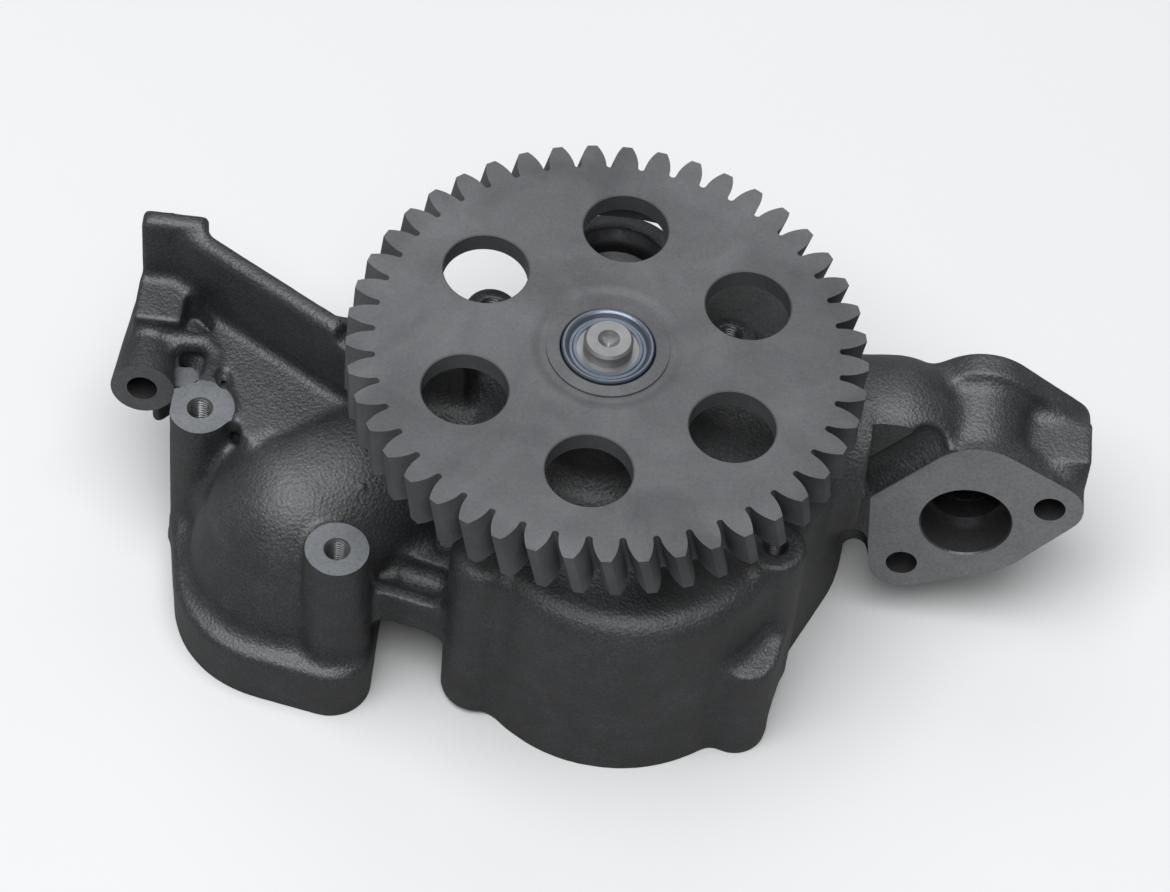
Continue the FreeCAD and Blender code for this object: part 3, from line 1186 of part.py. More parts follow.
def gallery_washer():
    return along_gallery(turned([
        (GALLERY_PLUG_RADIUS + 0.1, 0), (GALLERY_PLUG_FLANGE_RADIUS, 0),
        (GALLERY_PLUG_FLANGE_RADIUS, WASHER_THICKNESS), (GALLERY_PLUG_RADIUS + 0.1, WASHER_THICKNESS),
    ]))


def suction_seal():
    centre = Vector(ELBOW_X, ELBOW_Y, SEAL_SECTION_RADIUS + 0.05)
    return Part.makeTorus(SEAL_RING_RADIUS, SEAL_SECTION_RADIUS, centre, UP)


NODES = {
    "pump_housing": pump_housing,
    "bottom_cover": bottom_cover,
    "cover_gasket": cover_gasket,
    "cover_screws": cover_screws,
    "dowel_pins": dowel_pins,
    "drive_gear": drive_wheel,
    "gear_clamp_ring": hub_ring,
    "drive_shaft": drive_shaft,
    "shaft_key": shaft_key,
    "pump_driving_gear": pump_driving_gear,
    "pump_driven_gear": pump_driven_gear,
    "idler_bush": idler_bush,
    "idler_shaft": idler_shaft,
    "upper_drive_bush": upper_bush,
    "lower_drive_bush": lower_bush,
    "thrust_washer": thrust_washer,
    "relief_piston": relief_piston,
    "relief_spring": relief_spring,
    "relief_plug": relief_plug,
    "relief_plug_washer": relief_washer,
    "gallery_plug": gallery_plug,
    "gallery_plug_washer": gallery_washer,
    "suction_seal": suction_seal,
}

os.makedirs("parts", exist_ok=True)
for name, maker in NODES.items():
    maker().exportStep("parts/" + name + ".step")
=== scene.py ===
import math

import bmesh
import bpy
import numpy as np
import openvdb
from mathutils import Matrix, Vector


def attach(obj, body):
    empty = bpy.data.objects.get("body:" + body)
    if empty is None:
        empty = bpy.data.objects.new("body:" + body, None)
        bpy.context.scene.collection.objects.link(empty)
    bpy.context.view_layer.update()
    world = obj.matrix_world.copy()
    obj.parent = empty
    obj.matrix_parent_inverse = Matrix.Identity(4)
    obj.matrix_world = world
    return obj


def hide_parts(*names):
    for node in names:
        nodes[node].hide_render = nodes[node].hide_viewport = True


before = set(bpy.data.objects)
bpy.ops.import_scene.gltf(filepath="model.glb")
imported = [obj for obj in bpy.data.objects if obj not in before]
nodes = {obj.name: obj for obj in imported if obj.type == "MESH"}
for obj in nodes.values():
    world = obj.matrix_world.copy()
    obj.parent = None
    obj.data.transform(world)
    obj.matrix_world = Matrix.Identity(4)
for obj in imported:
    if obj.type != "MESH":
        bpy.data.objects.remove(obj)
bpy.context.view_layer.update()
scene = bpy.context.scene

# Places and sizes in millimetres, as the model's source has them
MM = 0.001
POSTS = ((-129.0, -6.4), (-78.0, -55.4))
POST_TOP = 72.0
BOSS_TOP = 98.0
RIGHT_COLUMN = (60.2, -40.9, 82.0)
REAR_COLUMNS = ((-39.2, 36.3, 88.0), (39.2, 36.3, 88.0))
CHAMBER_FLOOR = 14.5
CHAMBER_ROOF = 57.8
CHAMBER_RADIUS = 26.65
IDLER_HEADING = math.radians(-63.6)
IDLER = (45.0 * math.cos(IDLER_HEADING), 45.0 * math.sin(IDLER_HEADING))
COVER_CENTRE = (13.2, -26.6)
ELBOW = (-93.5, -26.0)
TOWER_Y = 59.0
FACE_TILT = math.radians(8.0)
FACE_ZERO_Z = 45.0
FACE_OUT = np.array((0.0, -math.cos(FACE_TILT), math.sin(FACE_TILT)))
OUTLET = (123.9, 48.5)
EAR = (-149.5, 66.3)

# Radii of the bores, and the stepped ones as radius and depth pairs
EAR_HOLE_RADIUS = 5.0
BUSH_RADIUS = 12.5
IDLER_SHAFT_RADIUS = 8.0
GALLERY_RADIUS = 6.5
GALLERY_SPOT_RADIUS = 9.5
SUCTION_RADIUS = 20.0
SUCTION_DEPTH = 28.0
OUTLET_STEPS = ((15.4, -2.0), (15.4, 0.0), (14.9, 0.5), (14.9, 14.0), (12.2, 14.0), (12.2, 22.0))
RELIEF_STEPS = ((8.0, 11.0), (8.0, 22.0), (13.0, 22.0), (13.0, 72.0), (17.3, 72.0), (17.3, 87.6),
                (18.2, 88.5), (18.2, 90.0))
SEAL_GROOVE = ((26.2, -1.0), (26.2, 3.3), (22.8, 3.3), (22.8, -1.0))

# Outline of the delivery flange on its plane: discs as across, up, radius
RIGHT_LOBE = (26.2, 10.6, 11.2)
LEFT_LOBE = (-18.3, -22.6, 11.2)
FLANGE_DISCS = (RIGHT_LOBE, (1.0, 15.5, 19.0), (-30.1, 6.2, 2.0), LEFT_LOBE, (0.0, 0.0, 25.0))
BOLT_HOLE_RADIUS = 5.2

# The casting's skin: grid, fillets, edge softness in cells, and stock on the machined faces
VOXEL = 0.7
SMALL_FILLET = 2.4
WIDE_FILLET = 5.0
EDGE_BLUR = 1.1
STOCK = 3.0

# Places where the casting's hollows are wide and soft: low corner, high corner, ramp
SOFT_PLACES = (
    ((-135.0, -75.0, 0.0), (-90.0, -20.0, 42.0), 6.0),
    ((-60.0, -90.0, 0.0), (170.0, 70.0, 90.0), 6.0),
)

# Pimples of the cast skin: place, height and reach
PIMPLES = (((-73.1, -30.5, 72.4), 0.6, 1.1), ((85.3, 13.6, 90.7), 0.6, 1.1))

# Waviness of the cast skin: height, cell and seed
WAVES = ((0.10, 11.0, 3), (0.04, 4.5, 5), (0.025, 2.0, 7))

# Small pad between ear and post, its light spot-faced top a painted patch of light: place, radius and top
PAINTED_LIGHT_PAD_PLACE = (-137.2, 12.6)
PAINTED_LIGHT_PAD_RADIUS = 4.6
PAINTED_LIGHT_PAD_TOP = 62.0

# Rounded bars added at the bracket: the loop's round rib, the pad beside it whose top is a painted patch of
# light, what closes the gaps
LUMPS = (
    ((-140.0, 35.0, 59.0), (-124.0, 11.0, 59.0), 6.5),
    ((*PAINTED_LIGHT_PAD_PLACE, 44.0), (*PAINTED_LIGHT_PAD_PLACE, 60.0), PAINTED_LIGHT_PAD_RADIUS),
    ((-124.0, 11.0, 58.0), (-119.0, -3.0, 56.0), 6.0),
    ((-147.0, 13.0, 66.0), (-139.5, 21.5, 69.3), 3.3),
    ((-139.5, 21.5, 69.3), (-131.0, 22.0, 69.6), 3.3),
    ((-131.0, 22.0, 69.6), (-127.2, 17.0, 69.6), 3.3),
    ((-127.2, 17.0, 69.6), (-128.5, 1.0, 69.0), 3.3),
    ((-120.0, -6.0, 54.0), (-113.5, -17.0, 42.0), 6.5),
)

# Hollow beside the delivery flange, on its plane: ends across and up, then radius and lift
HOLLOW = ((-37.0, 13.0), (-17.0, 35.0), 7.5, 2.5)

# Camera in metres, with its axes
CAMERA_PLACE = Vector((-0.0036, -0.8319, 1.1953))
CAMERA_RIGHT = Vector((0.99329, 0.09307, 0.06862))
CAMERA_UP = Vector((-0.11563, 0.79949, 0.58944))
CAMERA_BACK = Vector((0.0, -0.59342, 0.80489))
FOCAL_PIXELS = 4300.0
IMAGE_WIDTH = 1170.0
SENSOR = 36.0

# Studio light: strength of the world, and what the floor gives back to all but the camera
WORLD_LEVEL = 0.15
FLOOR_BOUNCE = 0.26


def make_camera():
    """Camera at the photograph's angle."""
    data = bpy.data.cameras.new("camera")
    data.sensor_width = SENSOR
    data.lens = FOCAL_PIXELS / IMAGE_WIDTH * SENSOR
    data.clip_start = 0.01
    data.clip_end = 50.0
    camera = bpy.data.objects.new("camera", data)
    scene.collection.objects.link(camera)
    turn = Matrix((CAMERA_RIGHT, CAMERA_UP, CAMERA_BACK)).transposed().to_4x4()
    turn.translation = CAMERA_PLACE
    camera.matrix_world = turn
    scene.camera = camera


class Shader:
    """Small helper round a material's node tree."""

    def __init__(self, name):
        self.material = bpy.data.materials.new(name)
        self.material.use_nodes = True
        self.tree = self.material.node_tree
        self.bsdf = self.tree.nodes["Principled BSDF"]
        self.place = self.add("ShaderNodeTexCoord").outputs["Object"]

    def add(self, kind, **settings):
        node = self.tree.nodes.new(kind)
        for key, value in settings.items():
            setattr(node, key, value)
        return node

    def link(self, source, target):
        self.tree.links.new(source, target)

    def noise(self, scale, detail, rough, distortion=0.0, vector=None):
        node = self.add("ShaderNodeTexNoise")
        node.inputs["Scale"].default_value = scale
        node.inputs["Detail"].default_value = detail
        node.inputs["Roughness"].default_value = rough
        node.inputs["Distortion"].default_value = distortion
        self.link(vector or self.place, node.inputs["Vector"])
        return node.outputs["Fac"]

    def cells(self, scale, smoothness):
        node = self.add("ShaderNodeTexVoronoi", feature="SMOOTH_F1")
        node.inputs["Scale"].default_value = scale
        node.inputs["Smoothness"].default_value = smoothness
        self.link(self.place, node.inputs["Vector"])
        return node.outputs["Distance"]

    def ramp(self, source, stops):
        node = self.add("ShaderNodeValToRGB")
        ramp = node.color_ramp
        while len(ramp.elements) < len(stops):
            ramp.elements.new(0.5)
        for element, (place, colour) in zip(ramp.elements, stops):
            element.position = place
            if isinstance(colour, (int, float)):
                colour = (colour, colour, colour)
            element.color = (*colour, 1.0)
        self.link(source, node.inputs["Fac"])
        return node.outputs["Color"]

    def math(self, operation, a, b=None):
        node = self.add("ShaderNodeMath", operation=operation)
        for socket, value in zip(node.inputs, (a, b)):
            if value is None:
                continue
            if isinstance(value, (int, float)):
                socket.default_value = value
            else:
                self.link(value, socket)
        return node.outputs["Value"]

    def multiplied(self, a, b):
        """Product of two colours."""
        node = self.add("ShaderNodeMix", data_type="RGBA", blend_type="MULTIPLY")
        node.inputs["Factor"].default_value = 1.0
        self.link(a, node.inputs["A"])
        self.link(b, node.inputs["B"])
        return node.outputs["Result"]

    def bump(self, height, strength, distance, normal=None):
        node = self.add("ShaderNodeBump")
        node.inputs["Strength"].default_value = strength
        node.inputs["Distance"].default_value = distance
        self.link(height, node.inputs["Height"])
        if normal is not None:
            self.link(normal, node.inputs["Normal"])
        return node.outputs["Normal"]

    def set(self, socket, value):
        self.bsdf.inputs[socket].default_value = value

    def finish(self, colour, roughness, normal=None):
        self.link(colour, self.bsdf.inputs["Base Color"])
        if isinstance(roughness, float):
            self.set("Roughness", roughness)
        else:
            self.link(roughness, self.bsdf.inputs["Roughness"])
        if normal is not None:
            self.link(normal, self.bsdf.inputs["Normal"])
        return self.material


def cast_iron():
    """Dark sand-cast iron, oiled: nearly black, pebbled, with a soft sheen on its upper side."""
    s = Shader("cast_iron")
    grain = s.cells(900.0, 0.6)
    fine = s.noise(2400.0, 3.0, 0.7)
    broad = s.noise(90.0, 5.0, 0.62)
    blotch = s.noise(22.0, 3.0, 0.5)
    tone = s.ramp(broad, [(0.32, (0.016, 0.0169, 0.0182)), (0.55, (0.024, 0.0252, 0.0272)),
                          (0.75, (0.036, 0.0376, 0.0404))])
    speckle = s.ramp(s.noise(1500.0, 2.0, 0.6), [(0.34, 0.45), (0.5, 1.0), (0.66, 1.9)])
    tone = s.multiplied(tone, speckle)
    dark = s.ramp(blotch, [(0.35, 0.8), (0.7, 1.15)])
    tone = s.multiplied(tone, dark)
    rough = s.ramp(fine, [(0.3, 0.40), (0.7, 0.54)])
    height = s.math("ADD", s.math("MULTIPLY", grain, 0.6), s.math("MULTIPLY", fine, 0.5))
    normal = s.bump(height, 0.75, 0.0004)
    normal = s.bump(broad, 0.2, 0.0005, normal)
    s.set("Specular IOR Level", 1.0)
    return s.finish(tone, rough, normal)


def ground_face(name, low, high, roughness=0.42, metallic=0.8):
    """Milled or ground metal with a fine lay, faint stains and speckle."""
    s = Shader(name)
    stretch = s.add("ShaderNodeMapping")
    stretch.inputs["Scale"].default_value = (1.0, 0.06, 1.0)
    s.link(s.place, stretch.inputs["Vector"])
    lines = s.noise(900.0, 2.0, 0.6, 0.0, stretch.outputs["Vector"])
    speckle = s.noise(900.0, 4.0, 0.75)
    cloud = s.noise(60.0, 5.0, 0.6, 0.4)
    tone = s.ramp(cloud, [(0.3, low), (0.7, high)])
    spots = s.ramp(speckle, [(0.34, 0.78), (0.52, 1.0), (0.72, 1.14)])
    tone = s.multiplied(tone, spots)
    rough = s.ramp(cloud, [(0.3, roughness + 0.06), (0.7, roughness - 0.05)])
    height = s.math("ADD", s.math("MULTIPLY", lines, 0.5), s.math("MULTIPLY", speckle, 0.6))
    normal = s.bump(height, 0.2, 0.0002)
    s.set("Metallic", metallic)
    return s.finish(tone, rough, normal)


def turned_steel(name, tone_low, tone_high, pitch, roughness):
    """Bright turned steel: rings about the piece's axis."""
    s = Shader(name)
    split = s.add("ShaderNodeSeparateXYZ")
    s.link(s.place, split.inputs["Vector"])
    x2 = s.math("MULTIPLY", split.outputs["X"], split.outputs["X"])
    y2 = s.math("MULTIPLY", split.outputs["Y"], split.outputs["Y"])
    radius = s.math("SQRT", s.math("ADD", x2, y2))
    where = s.add("ShaderNodeCombineXYZ")
    s.link(radius, where.inputs["X"])
    s.link(split.outputs["Z"], where.inputs["Y"])
    rings = s.noise(pitch, 2.0, 0.5, 0.0, where.outputs["Vector"])
    cloud = s.noise(80.0, 4.0, 0.6)
    tone = s.ramp(cloud, [(0.3, tone_low), (0.7, tone_high)])
    rough = s.ramp(rings, [(0.3, roughness - 0.06), (0.7, roughness + 0.12)])
    normal = s.bump(rings, 0.12, 0.00015)
    s.set("Metallic", 0.75)
    return s.finish(tone, rough, normal)


def gear_steel():
    """Phosphated wheel: soft matt grey, slightly blotched."""
    s = Shader("gear_steel")
    speckle = s.noise(900.0, 4.0, 0.75)
    cloud = s.noise(38.0, 6.0, 0.62, 0.5)
    stain = s.noise(14.0, 3.0, 0.5, 0.6)
    tone = s.ramp(cloud, [(0.3, (0.094, 0.097, 0.102)), (0.7, (0.142, 0.145, 0.151))])
    stains = s.ramp(stain, [(0.3, 0.84), (0.65, 1.06)])
    tone = s.multiplied(tone, stains)
    spots = s.ramp(speckle, [(0.32, 0.86), (0.55, 1.0), (0.75, 1.08)])
    tone = s.multiplied(tone, spots)
    rough = s.ramp(cloud, [(0.3, 0.56), (0.7, 0.46)])
    normal = s.bump(speckle, 0.16, 0.00025)
    s.set("Metallic", 0.25)
    s.set("Specular IOR Level", 0.2)
    return s.finish(tone, rough, normal)


def rubber():
    """Matt black rubber of the seal ring."""
    s = Shader("seal_rubber")
    fine = s.noise(1200.0, 3.0, 0.6)
    tone = s.ramp(fine, [(0.3, 0.016), (0.7, 0.026)])
    rough = s.ramp(fine, [(0.3, 0.5), (0.7, 0.66)])
    return s.finish(tone, rough, s.bump(fine, 0.15, 0.0002))


def paper():
    """Oiled fibre sheet of the gasket."""
    s = Shader("gasket_paper")
    fine = s.noise(800.0, 5.0, 0.7)
    tone = s.ramp(fine, [(0.3, (0.10, 0.085, 0.062)), (0.7, (0.16, 0.135, 0.10))])
    rough = s.ramp(fine, [(0.3, 0.78), (0.7, 0.9)])
    return s.finish(tone, rough, s.bump(fine, 0.3, 0.0002))


def face_y(z):
    """Depth of the tilted mounting plane at a height."""
    return (z - FACE_ZERO_Z) * math.tan(FACE_TILT)


def face_point(u, v):
    """Point of the mounting plane beside the delivery bore."""
    z = OUTLET[1] + v * math.cos(FACE_TILT)
    return np.array((OUTLET[0] + u, face_y(z), z))


def mesh_arrays(ob):
    """Vertices in millimetres and triangles of an object."""
    mesh = ob.data
    mesh.calc_loop_triangles()
    points = np.empty(len(mesh.vertices) * 3, np.float32)
    mesh.vertices.foreach_get("co", points)
    tris = np.empty(len(mesh.loop_triangles) * 3, np.int32)
    mesh.loop_triangles.foreach_get("vertices", tris)
    return points.reshape(-1, 3) / MM, tris.reshape(-1, 3).astype(np.uint32)


def new_mesh(name, points, tris, quads=None):
    """Object from millimetre points and index arrays."""
    mesh = bpy.data.meshes.new(name)
    quads = np.empty((0, 4), np.uint32) if quads is None else quads
    mesh.vertices.add(len(points))
    mesh.vertices.foreach_set("co", (np.asarray(points, np.float64) * MM).astype(np.float32).ravel())
    loops = np.concatenate((tris.ravel(), quads.ravel())).astype(np.int32)
    mesh.loops.add(len(loops))
    mesh.loops.foreach_set("vertex_index", loops)
    starts = np.concatenate((np.arange(len(tris)) * 3, len(tris) * 3 + np.arange(len(quads)) * 4))
    mesh.polygons.add(len(starts))
    mesh.polygons.foreach_set("loop_start", starts.astype(np.int32))
    mesh.update(calc_edges=True)
    mesh.validate()
    ob = bpy.data.objects.new(name, mesh)
    scene.collection.objects.link(ob)
    return ob


def with_stock(points):
    """Moves the machined faces outwards, so that cutting them back leaves crisp edges."""
    p = points.copy()
    p[np.abs(points[:, 2]) < 0.01, 2] = -STOCK
    for x, y in POSTS:
        near = np.hypot(points[:, 0] - x, points[:, 1] - y) < 10.4
        p[near & (np.abs(points[:, 2] - POST_TOP) < 0.01), 2] += STOCK
    on_boss = np.hypot(points[:, 0], points[:, 1]) < 24.5
    p[on_boss & (np.abs(points[:, 2] - BOSS_TOP) < 0.01), 2] += STOCK
    gap = (points - np.array((0.0, 0.0, FACE_ZERO_Z))) @ FACE_OUT
    on_face = (np.abs(points[:, 0] - EAR[0]) < 14.0) | (points[:, 0] > 88.0)
    p[on_face & (np.abs(gap) < 0.02)] += FACE_OUT * STOCK
    return p


def level_set(points, tris, quads, band):
    """Distance grid of a closed mesh, with a band in voxels."""
    transform = openvdb.createLinearTransform(voxelSize=VOXEL)
    return openvdb.FloatGrid.createLevelSetFromPolygons(
        points.astype(np.float32), triangles=tris, quads=quads, transform=transform, halfWidth=band)


def dense(grid, low, shape):
    """Array of a grid's values from a low corner."""
    values = np.empty(shape, np.float32)
    grid.copyToArray(values, ijk=tuple(int(v) for v in low))
    return values


def blurred(values, sigma):
    """Gaussian blur along the three axes, sigma in voxels."""
    reach = int(math.ceil(sigma * 2.5))
    offsets = np.arange(-reach, reach + 1)
    weights = np.exp(-0.5 * (offsets / sigma) ** 2)
    weights /= weights.sum()
    for axis in range(3):
        total = np.zeros_like(values)
        for offset, weight in zip(offsets, weights):
            total += np.roll(values, offset, axis) * np.float32(weight)
        values = total
    return values


def soft_box(axes, low, high, ramp):
    """1 inside a box, falling to 0 over a ramp outside it."""
    parts = []
    for axis, a, b in zip(axes, low, high):
        outside = np.maximum(a - axis, axis - b)
        parts.append(np.clip(1 - outside / ramp, 0, 1).astype(np.float32))
    return parts[0][:, None, None] * parts[1][None, :, None] * parts[2][None, None, :]


def lattice_noise(points, cell, seed):
    """Smooth noise from -1 to 1 at points."""
    rng = np.random.default_rng(seed)
    table = rng.uniform(-1, 1, (64, 64, 64))
    q = points / cell
    base = np.floor(q).astype(int)
    f = q - base
    f = f * f * (3 - 2 * f)
    total = np.zeros(len(points))
    for corner in range(8):
        dx, dy, dz = corner & 1, (corner >> 1) & 1, (corner >> 2) & 1
        weight = ((f[:, 0] if dx else 1 - f[:, 0]) * (f[:, 1] if dy else 1 - f[:, 1])
                  * (f[:, 2] if dz else 1 - f[:, 2]))
        total += weight * table[(base[:, 0] + dx) % 64, (base[:, 1] + dy) % 64, (base[:, 2] + dz) % 64]
    return total


def capsule(body, axes, start, end, radius):
    """Adds a round-ended bar to the distance field."""
    reach = radius + 4 * VOXEL
    cut = []
    for axis in range(3):
        low, high = sorted((start[axis], end[axis]))
        first, last = np.searchsorted(axes[axis], (low - reach, high + reach))
        cut.append(slice(first, last))
    grid = np.meshgrid(*[axes[axis][cut[axis]] for axis in range(3)], indexing="ij")
    run = end - start
    along = sum((grid[axis] - start[axis]) * run[axis] for axis in range(3)) / (run @ run)
    along = np.clip(along, 0.0, 1.0)
    gap = np.sqrt(sum((grid[axis] - start[axis] - along * run[axis]) ** 2 for axis in range(3)))
    part = tuple(cut)
    body[part] = np.minimum(body[part], (gap - radius).astype(np.float32))


def closed_by(radius, raw, low, shape):
    """Distance field after a ball of the given radius has rolled round the outside."""
    p, t, q = raw.convertToPolygons(isovalue=radius, adaptivity=0.0)
    return dense(level_set(p, t, q, radius / VOXEL + 4), low, shape) + np.float32(radius)


def cast_skin():
    """The casting's skin: fillets in every hollow, rounded edges, the added bars and the hollow beside the
    flange.
    """
    points, tris = mesh_arrays(nodes["pump_housing"])
    points = with_stock(points)
    raw = level_set(points, tris, None, WIDE_FILLET / VOXEL + 4)
    low = np.floor(points.min(0) / VOXEL).astype(int) - 6
    shape = tuple(np.ceil(points.max(0) / VOXEL).astype(int) + 7 - low)
    axes = [(low[axis] + np.arange(shape[axis])) * VOXEL for axis in range(3)]
    wide = np.zeros(shape, np.float32)
    for a, b, ramp in SOFT_PLACES:
        wide = np.maximum(wide, soft_box(axes, a, b, ramp))
    body = closed_by(SMALL_FILLET, raw, low, shape)
    body += (np.minimum(closed_by(WIDE_FILLET, raw, low, shape), body) - body) * wide
    for start, end, radius in LUMPS:
        capsule(body, axes, np.array(start), np.array(end), radius)
    first, last, radius, lift = HOLLOW
    np.negative(body, out=body)
    capsule(body, axes, face_point(*first) + FACE_OUT * lift, face_point(*last) + FACE_OUT * lift, radius)
    np.negative(body, out=body)
    limit = np.float32(4 * VOXEL)
    body = blurred(np.clip(body, -limit, limit), EDGE_BLUR)
    grid = openvdb.FloatGrid(float(limit))
    grid.transform = openvdb.createLinearTransform(voxelSize=VOXEL)
    grid.copyFromArray(body, ijk=tuple(int(v) for v in low))
    p, t, q = grid.convertToPolygons(isovalue=0.0, adaptivity=0.0)
    return np.asarray(p, np.float64), np.asarray(t), np.asarray(q)


def uneven(ob):
    """Moves the skin along its normals by a slight waviness, and raises the pimples."""
    mesh = ob.data
    count = len(mesh.vertices)
    points = np.empty(count * 3, np.float32)
    normals = np.empty(count * 3, np.float32)
    mesh.vertices.foreach_get("co", points)
    mesh.vertex_normals.foreach_get("vector", normals)
    points = points.reshape(-1, 3).astype(np.float64) / MM
    normals = normals.reshape(-1, 3)
    shift = np.zeros(count)
    for height, cell, seed in WAVES:
        shift += height * lattice_noise(points, cell, seed)
    for place, height, reach in PIMPLES:
        gap = np.linalg.norm(points - np.array(place), axis=1)
        shift += height * np.exp(-(gap / reach) ** 2)
    points += normals * shift[:, None]
    mesh.vertices.foreach_set("co", (points * MM).astype(np.float32).ravel())
    mesh.update()


def rings_mesh(name, rings, hoop=False):
    """Closed mesh through rings of equal length, capped at both ends or closed on itself."""
    count = len(rings[0])
    points = np.concatenate(rings)
    tris = []
    quads = []
    for k in range(len(rings) - (0 if hoop else 1)):
        a = k * count
        b = (k + 1) % len(rings) * count
        for i in range(count):
            j = (i + 1) % count
            quads.append((a + i, a + j, b + j, b + i))
    if hoop:
        return new_mesh(name, points, np.empty((0, 3), np.uint32), np.array(quads, np.uint32))
    last = len(points)
    points = np.concatenate((points, [rings[0].mean(0), rings[-1].mean(0)]))
    top = (len(rings) - 1) * count
    for i in range(count):
        j = (i + 1) % count
        tris.append((last, j, i))
        tris.append((last + 1, top + i, top + j))
    return new_mesh(name, points, np.array(tris, np.uint32), np.array(quads, np.uint32))


def turned_cutter(name, profile, origin=(0, 0, 0), axis=(0, 0, 1), segments=128, hoop=False):
    """Solid of revolution: radius and distance pairs along an axis."""
    axis = Vector(axis).normalized()
    side = axis.orthogonal().normalized()
    other = axis.cross(side)
    rings = []
    for radius, distance in profile:
        angles = np.arange(segments) * 2 * math.pi / segments
        ring = (np.array(origin) + np.array(axis) * distance
                + radius * (np.cos(angles)[:, None] * np.array(side)
                            + np.sin(angles)[:, None] * np.array(other)))
        rings.append(ring)
    return rings_mesh(name, rings, hoop)


def rod(name, radius, start, end, segments=128):
    """Cylinder between two points."""
    start, end = Vector(start), Vector(end)
    return turned_cutter(name, [(radius, 0.0), (radius, (end - start).length)], start, end - start, segments)


def thread_cutter(name, x, y, top, depth=24.0, pitch=1.25, major=4.05, core=3.42, mouth=4.35):
    """Cutter for a threaded hole with its countersink."""
    steps_per_pitch = 10
    count = 48
    z = np.arange(top - depth, top + 1.2, pitch / steps_per_pitch)
    angles = np.arange(count) * 2 * math.pi / count
    rings = []
    for height in z:
        phase = np.mod((height - top) / pitch - angles / (2 * math.pi), 1.0)
        wave = np.clip(np.abs(phase - 0.5) * 2.6 - 0.25, 0.0, 1.0)
        radius = major - (major - core) * wave
        if height < top - depth + 2 * pitch:
            radius = np.full(count, core)
        cone = mouth - (top - height) * 0.9
        radius = np.maximum(radius, cone)
        rings.append(np.stack((x + radius * np.cos(angles), y + radius * np.sin(angles),
                               np.full(count, height)), 1))
    return rings_mesh(name, rings)


def block(name, low, high):
    """Box between two corners."""
    (x0, y0, z0), (x1, y1, z1) = low, high
    corners = np.array([(x, y, z) for z in (z0, z1) for y in (y0, y1) for x in (x0, x1)], float)
    quads = [(0, 2, 3, 1), (4, 5, 7, 6), (0, 1, 5, 4), (2, 6, 7, 3), (0, 4, 6, 2), (1, 3, 7, 5)]
    return new_mesh(name, corners, np.empty((0, 3), np.uint32), np.array(quads, np.uint32))


def flange_prism(name, thickness=12.0, grow=0.25):
    """Prism on the outline of the delivery flange, in front of the mounting plane."""
    shell = bmesh.new()
    for u, v, radius in FLANGE_DISCS:
        for angle in np.arange(48) * math.pi / 24:
            foot = face_point(u + (radius + grow) * math.cos(angle), v + (radius + grow) * math.sin(angle))
            shell.verts.new(Vector(foot) * MM)
            shell.verts.new((Vector(foot) + Vector(FACE_OUT) * thickness) * MM)
    bmesh.ops.convex_hull(shell, input=shell.verts)
    bmesh.ops.delete(shell, geom=[vert for vert in shell.verts if not vert.link_faces], context="VERTS")
    bmesh.ops.recalc_face_normals(shell, faces=shell.faces)
    mesh = bpy.data.meshes.new(name)
    shell.to_mesh(mesh)
    shell.free()
    ob = bpy.data.objects.new(name, mesh)
    scene.collection.objects.link(ob)
    return ob


def face_block(name, x, width, lift=0.0):
    """Block in front of the machined mounting plane."""
    ob = block(name, (-width / 2, -46, 0), (width / 2, 56, 40))
    out = Vector(FACE_OUT)
    across = Vector((1, 0, 0))
    turn = Matrix((across, out.cross(across), out)).transposed().to_4x4()
    turn.translation = (Vector((x, face_y(OUTLET[1]), OUTLET[1])) + out * lift) * MM
    ob.data.transform(turn)
    return ob


def stadium_prism(name, discs, bottom, top, segments=160):
    """Prism on the hull of two discs, x, y, radius."""
    (x0, y0, r0), (x1, y1, r1) = discs
    gap = math.hypot(x1 - x0, y1 - y0)
    heading = math.atan2(y1 - y0, x1 - x0)
    spread = math.acos((r0 - r1) / gap)
    half = segments // 2
    first = np.linspace(heading + spread, heading + 2 * math.pi - spread, half)
    second = np.linspace(heading - spread, heading + spread, half)
    outline = np.concatenate((
        np.stack((x0 + r0 * np.cos(first), y0 + r0 * np.sin(first)), 1),
        np.stack((x1 + r1 * np.cos(second), y1 + r1 * np.sin(second)), 1)))
    rings = [np.column_stack((outline, np.full(len(outline), z))) for z in (bottom, top)]
    return rings_mesh(name, rings)


def difference(ob, cutters):
    """Cuts every cutter out of an object; the cut faces take the cutter's material."""
    for cutter in cutters:
        step = ob.modifiers.new("cut", "BOOLEAN")
        step.operation = "DIFFERENCE"
        step.solver = "MANIFOLD"
        step.material_mode = "TRANSFER"
        step.object = cutter
    graph = bpy.context.evaluated_depsgraph_get()
    result = bpy.data.meshes.new_from_object(ob.evaluated_get(graph))
    ob.modifiers.clear()
    ob.data = result
    for cutter in cutters:
        bpy.data.objects.remove(cutter)


def screw_places():
    """Cover screws and dowels: x, y and the top of each hole."""
    rows = (
        (COVER_CENTRE, 40.3, IDLER_HEADING, (-80, -50, 50, 80), 26.0),
        ((0.0, 0.0), 33.0, IDLER_HEADING + math.pi, (-78, -26, 26, 78), 26.0),
        (COVER_CENTRE, 40.3, IDLER_HEADING, (-108, 108), 22.0),
    )
    places = []
    for (x, y), radius, heading, turns, top in rows:
        for turn in turns:
            angle = heading + math.radians(turn)
            places.append((x + radius * math.cos(angle), y + radius * math.sin(angle), top))
    return places


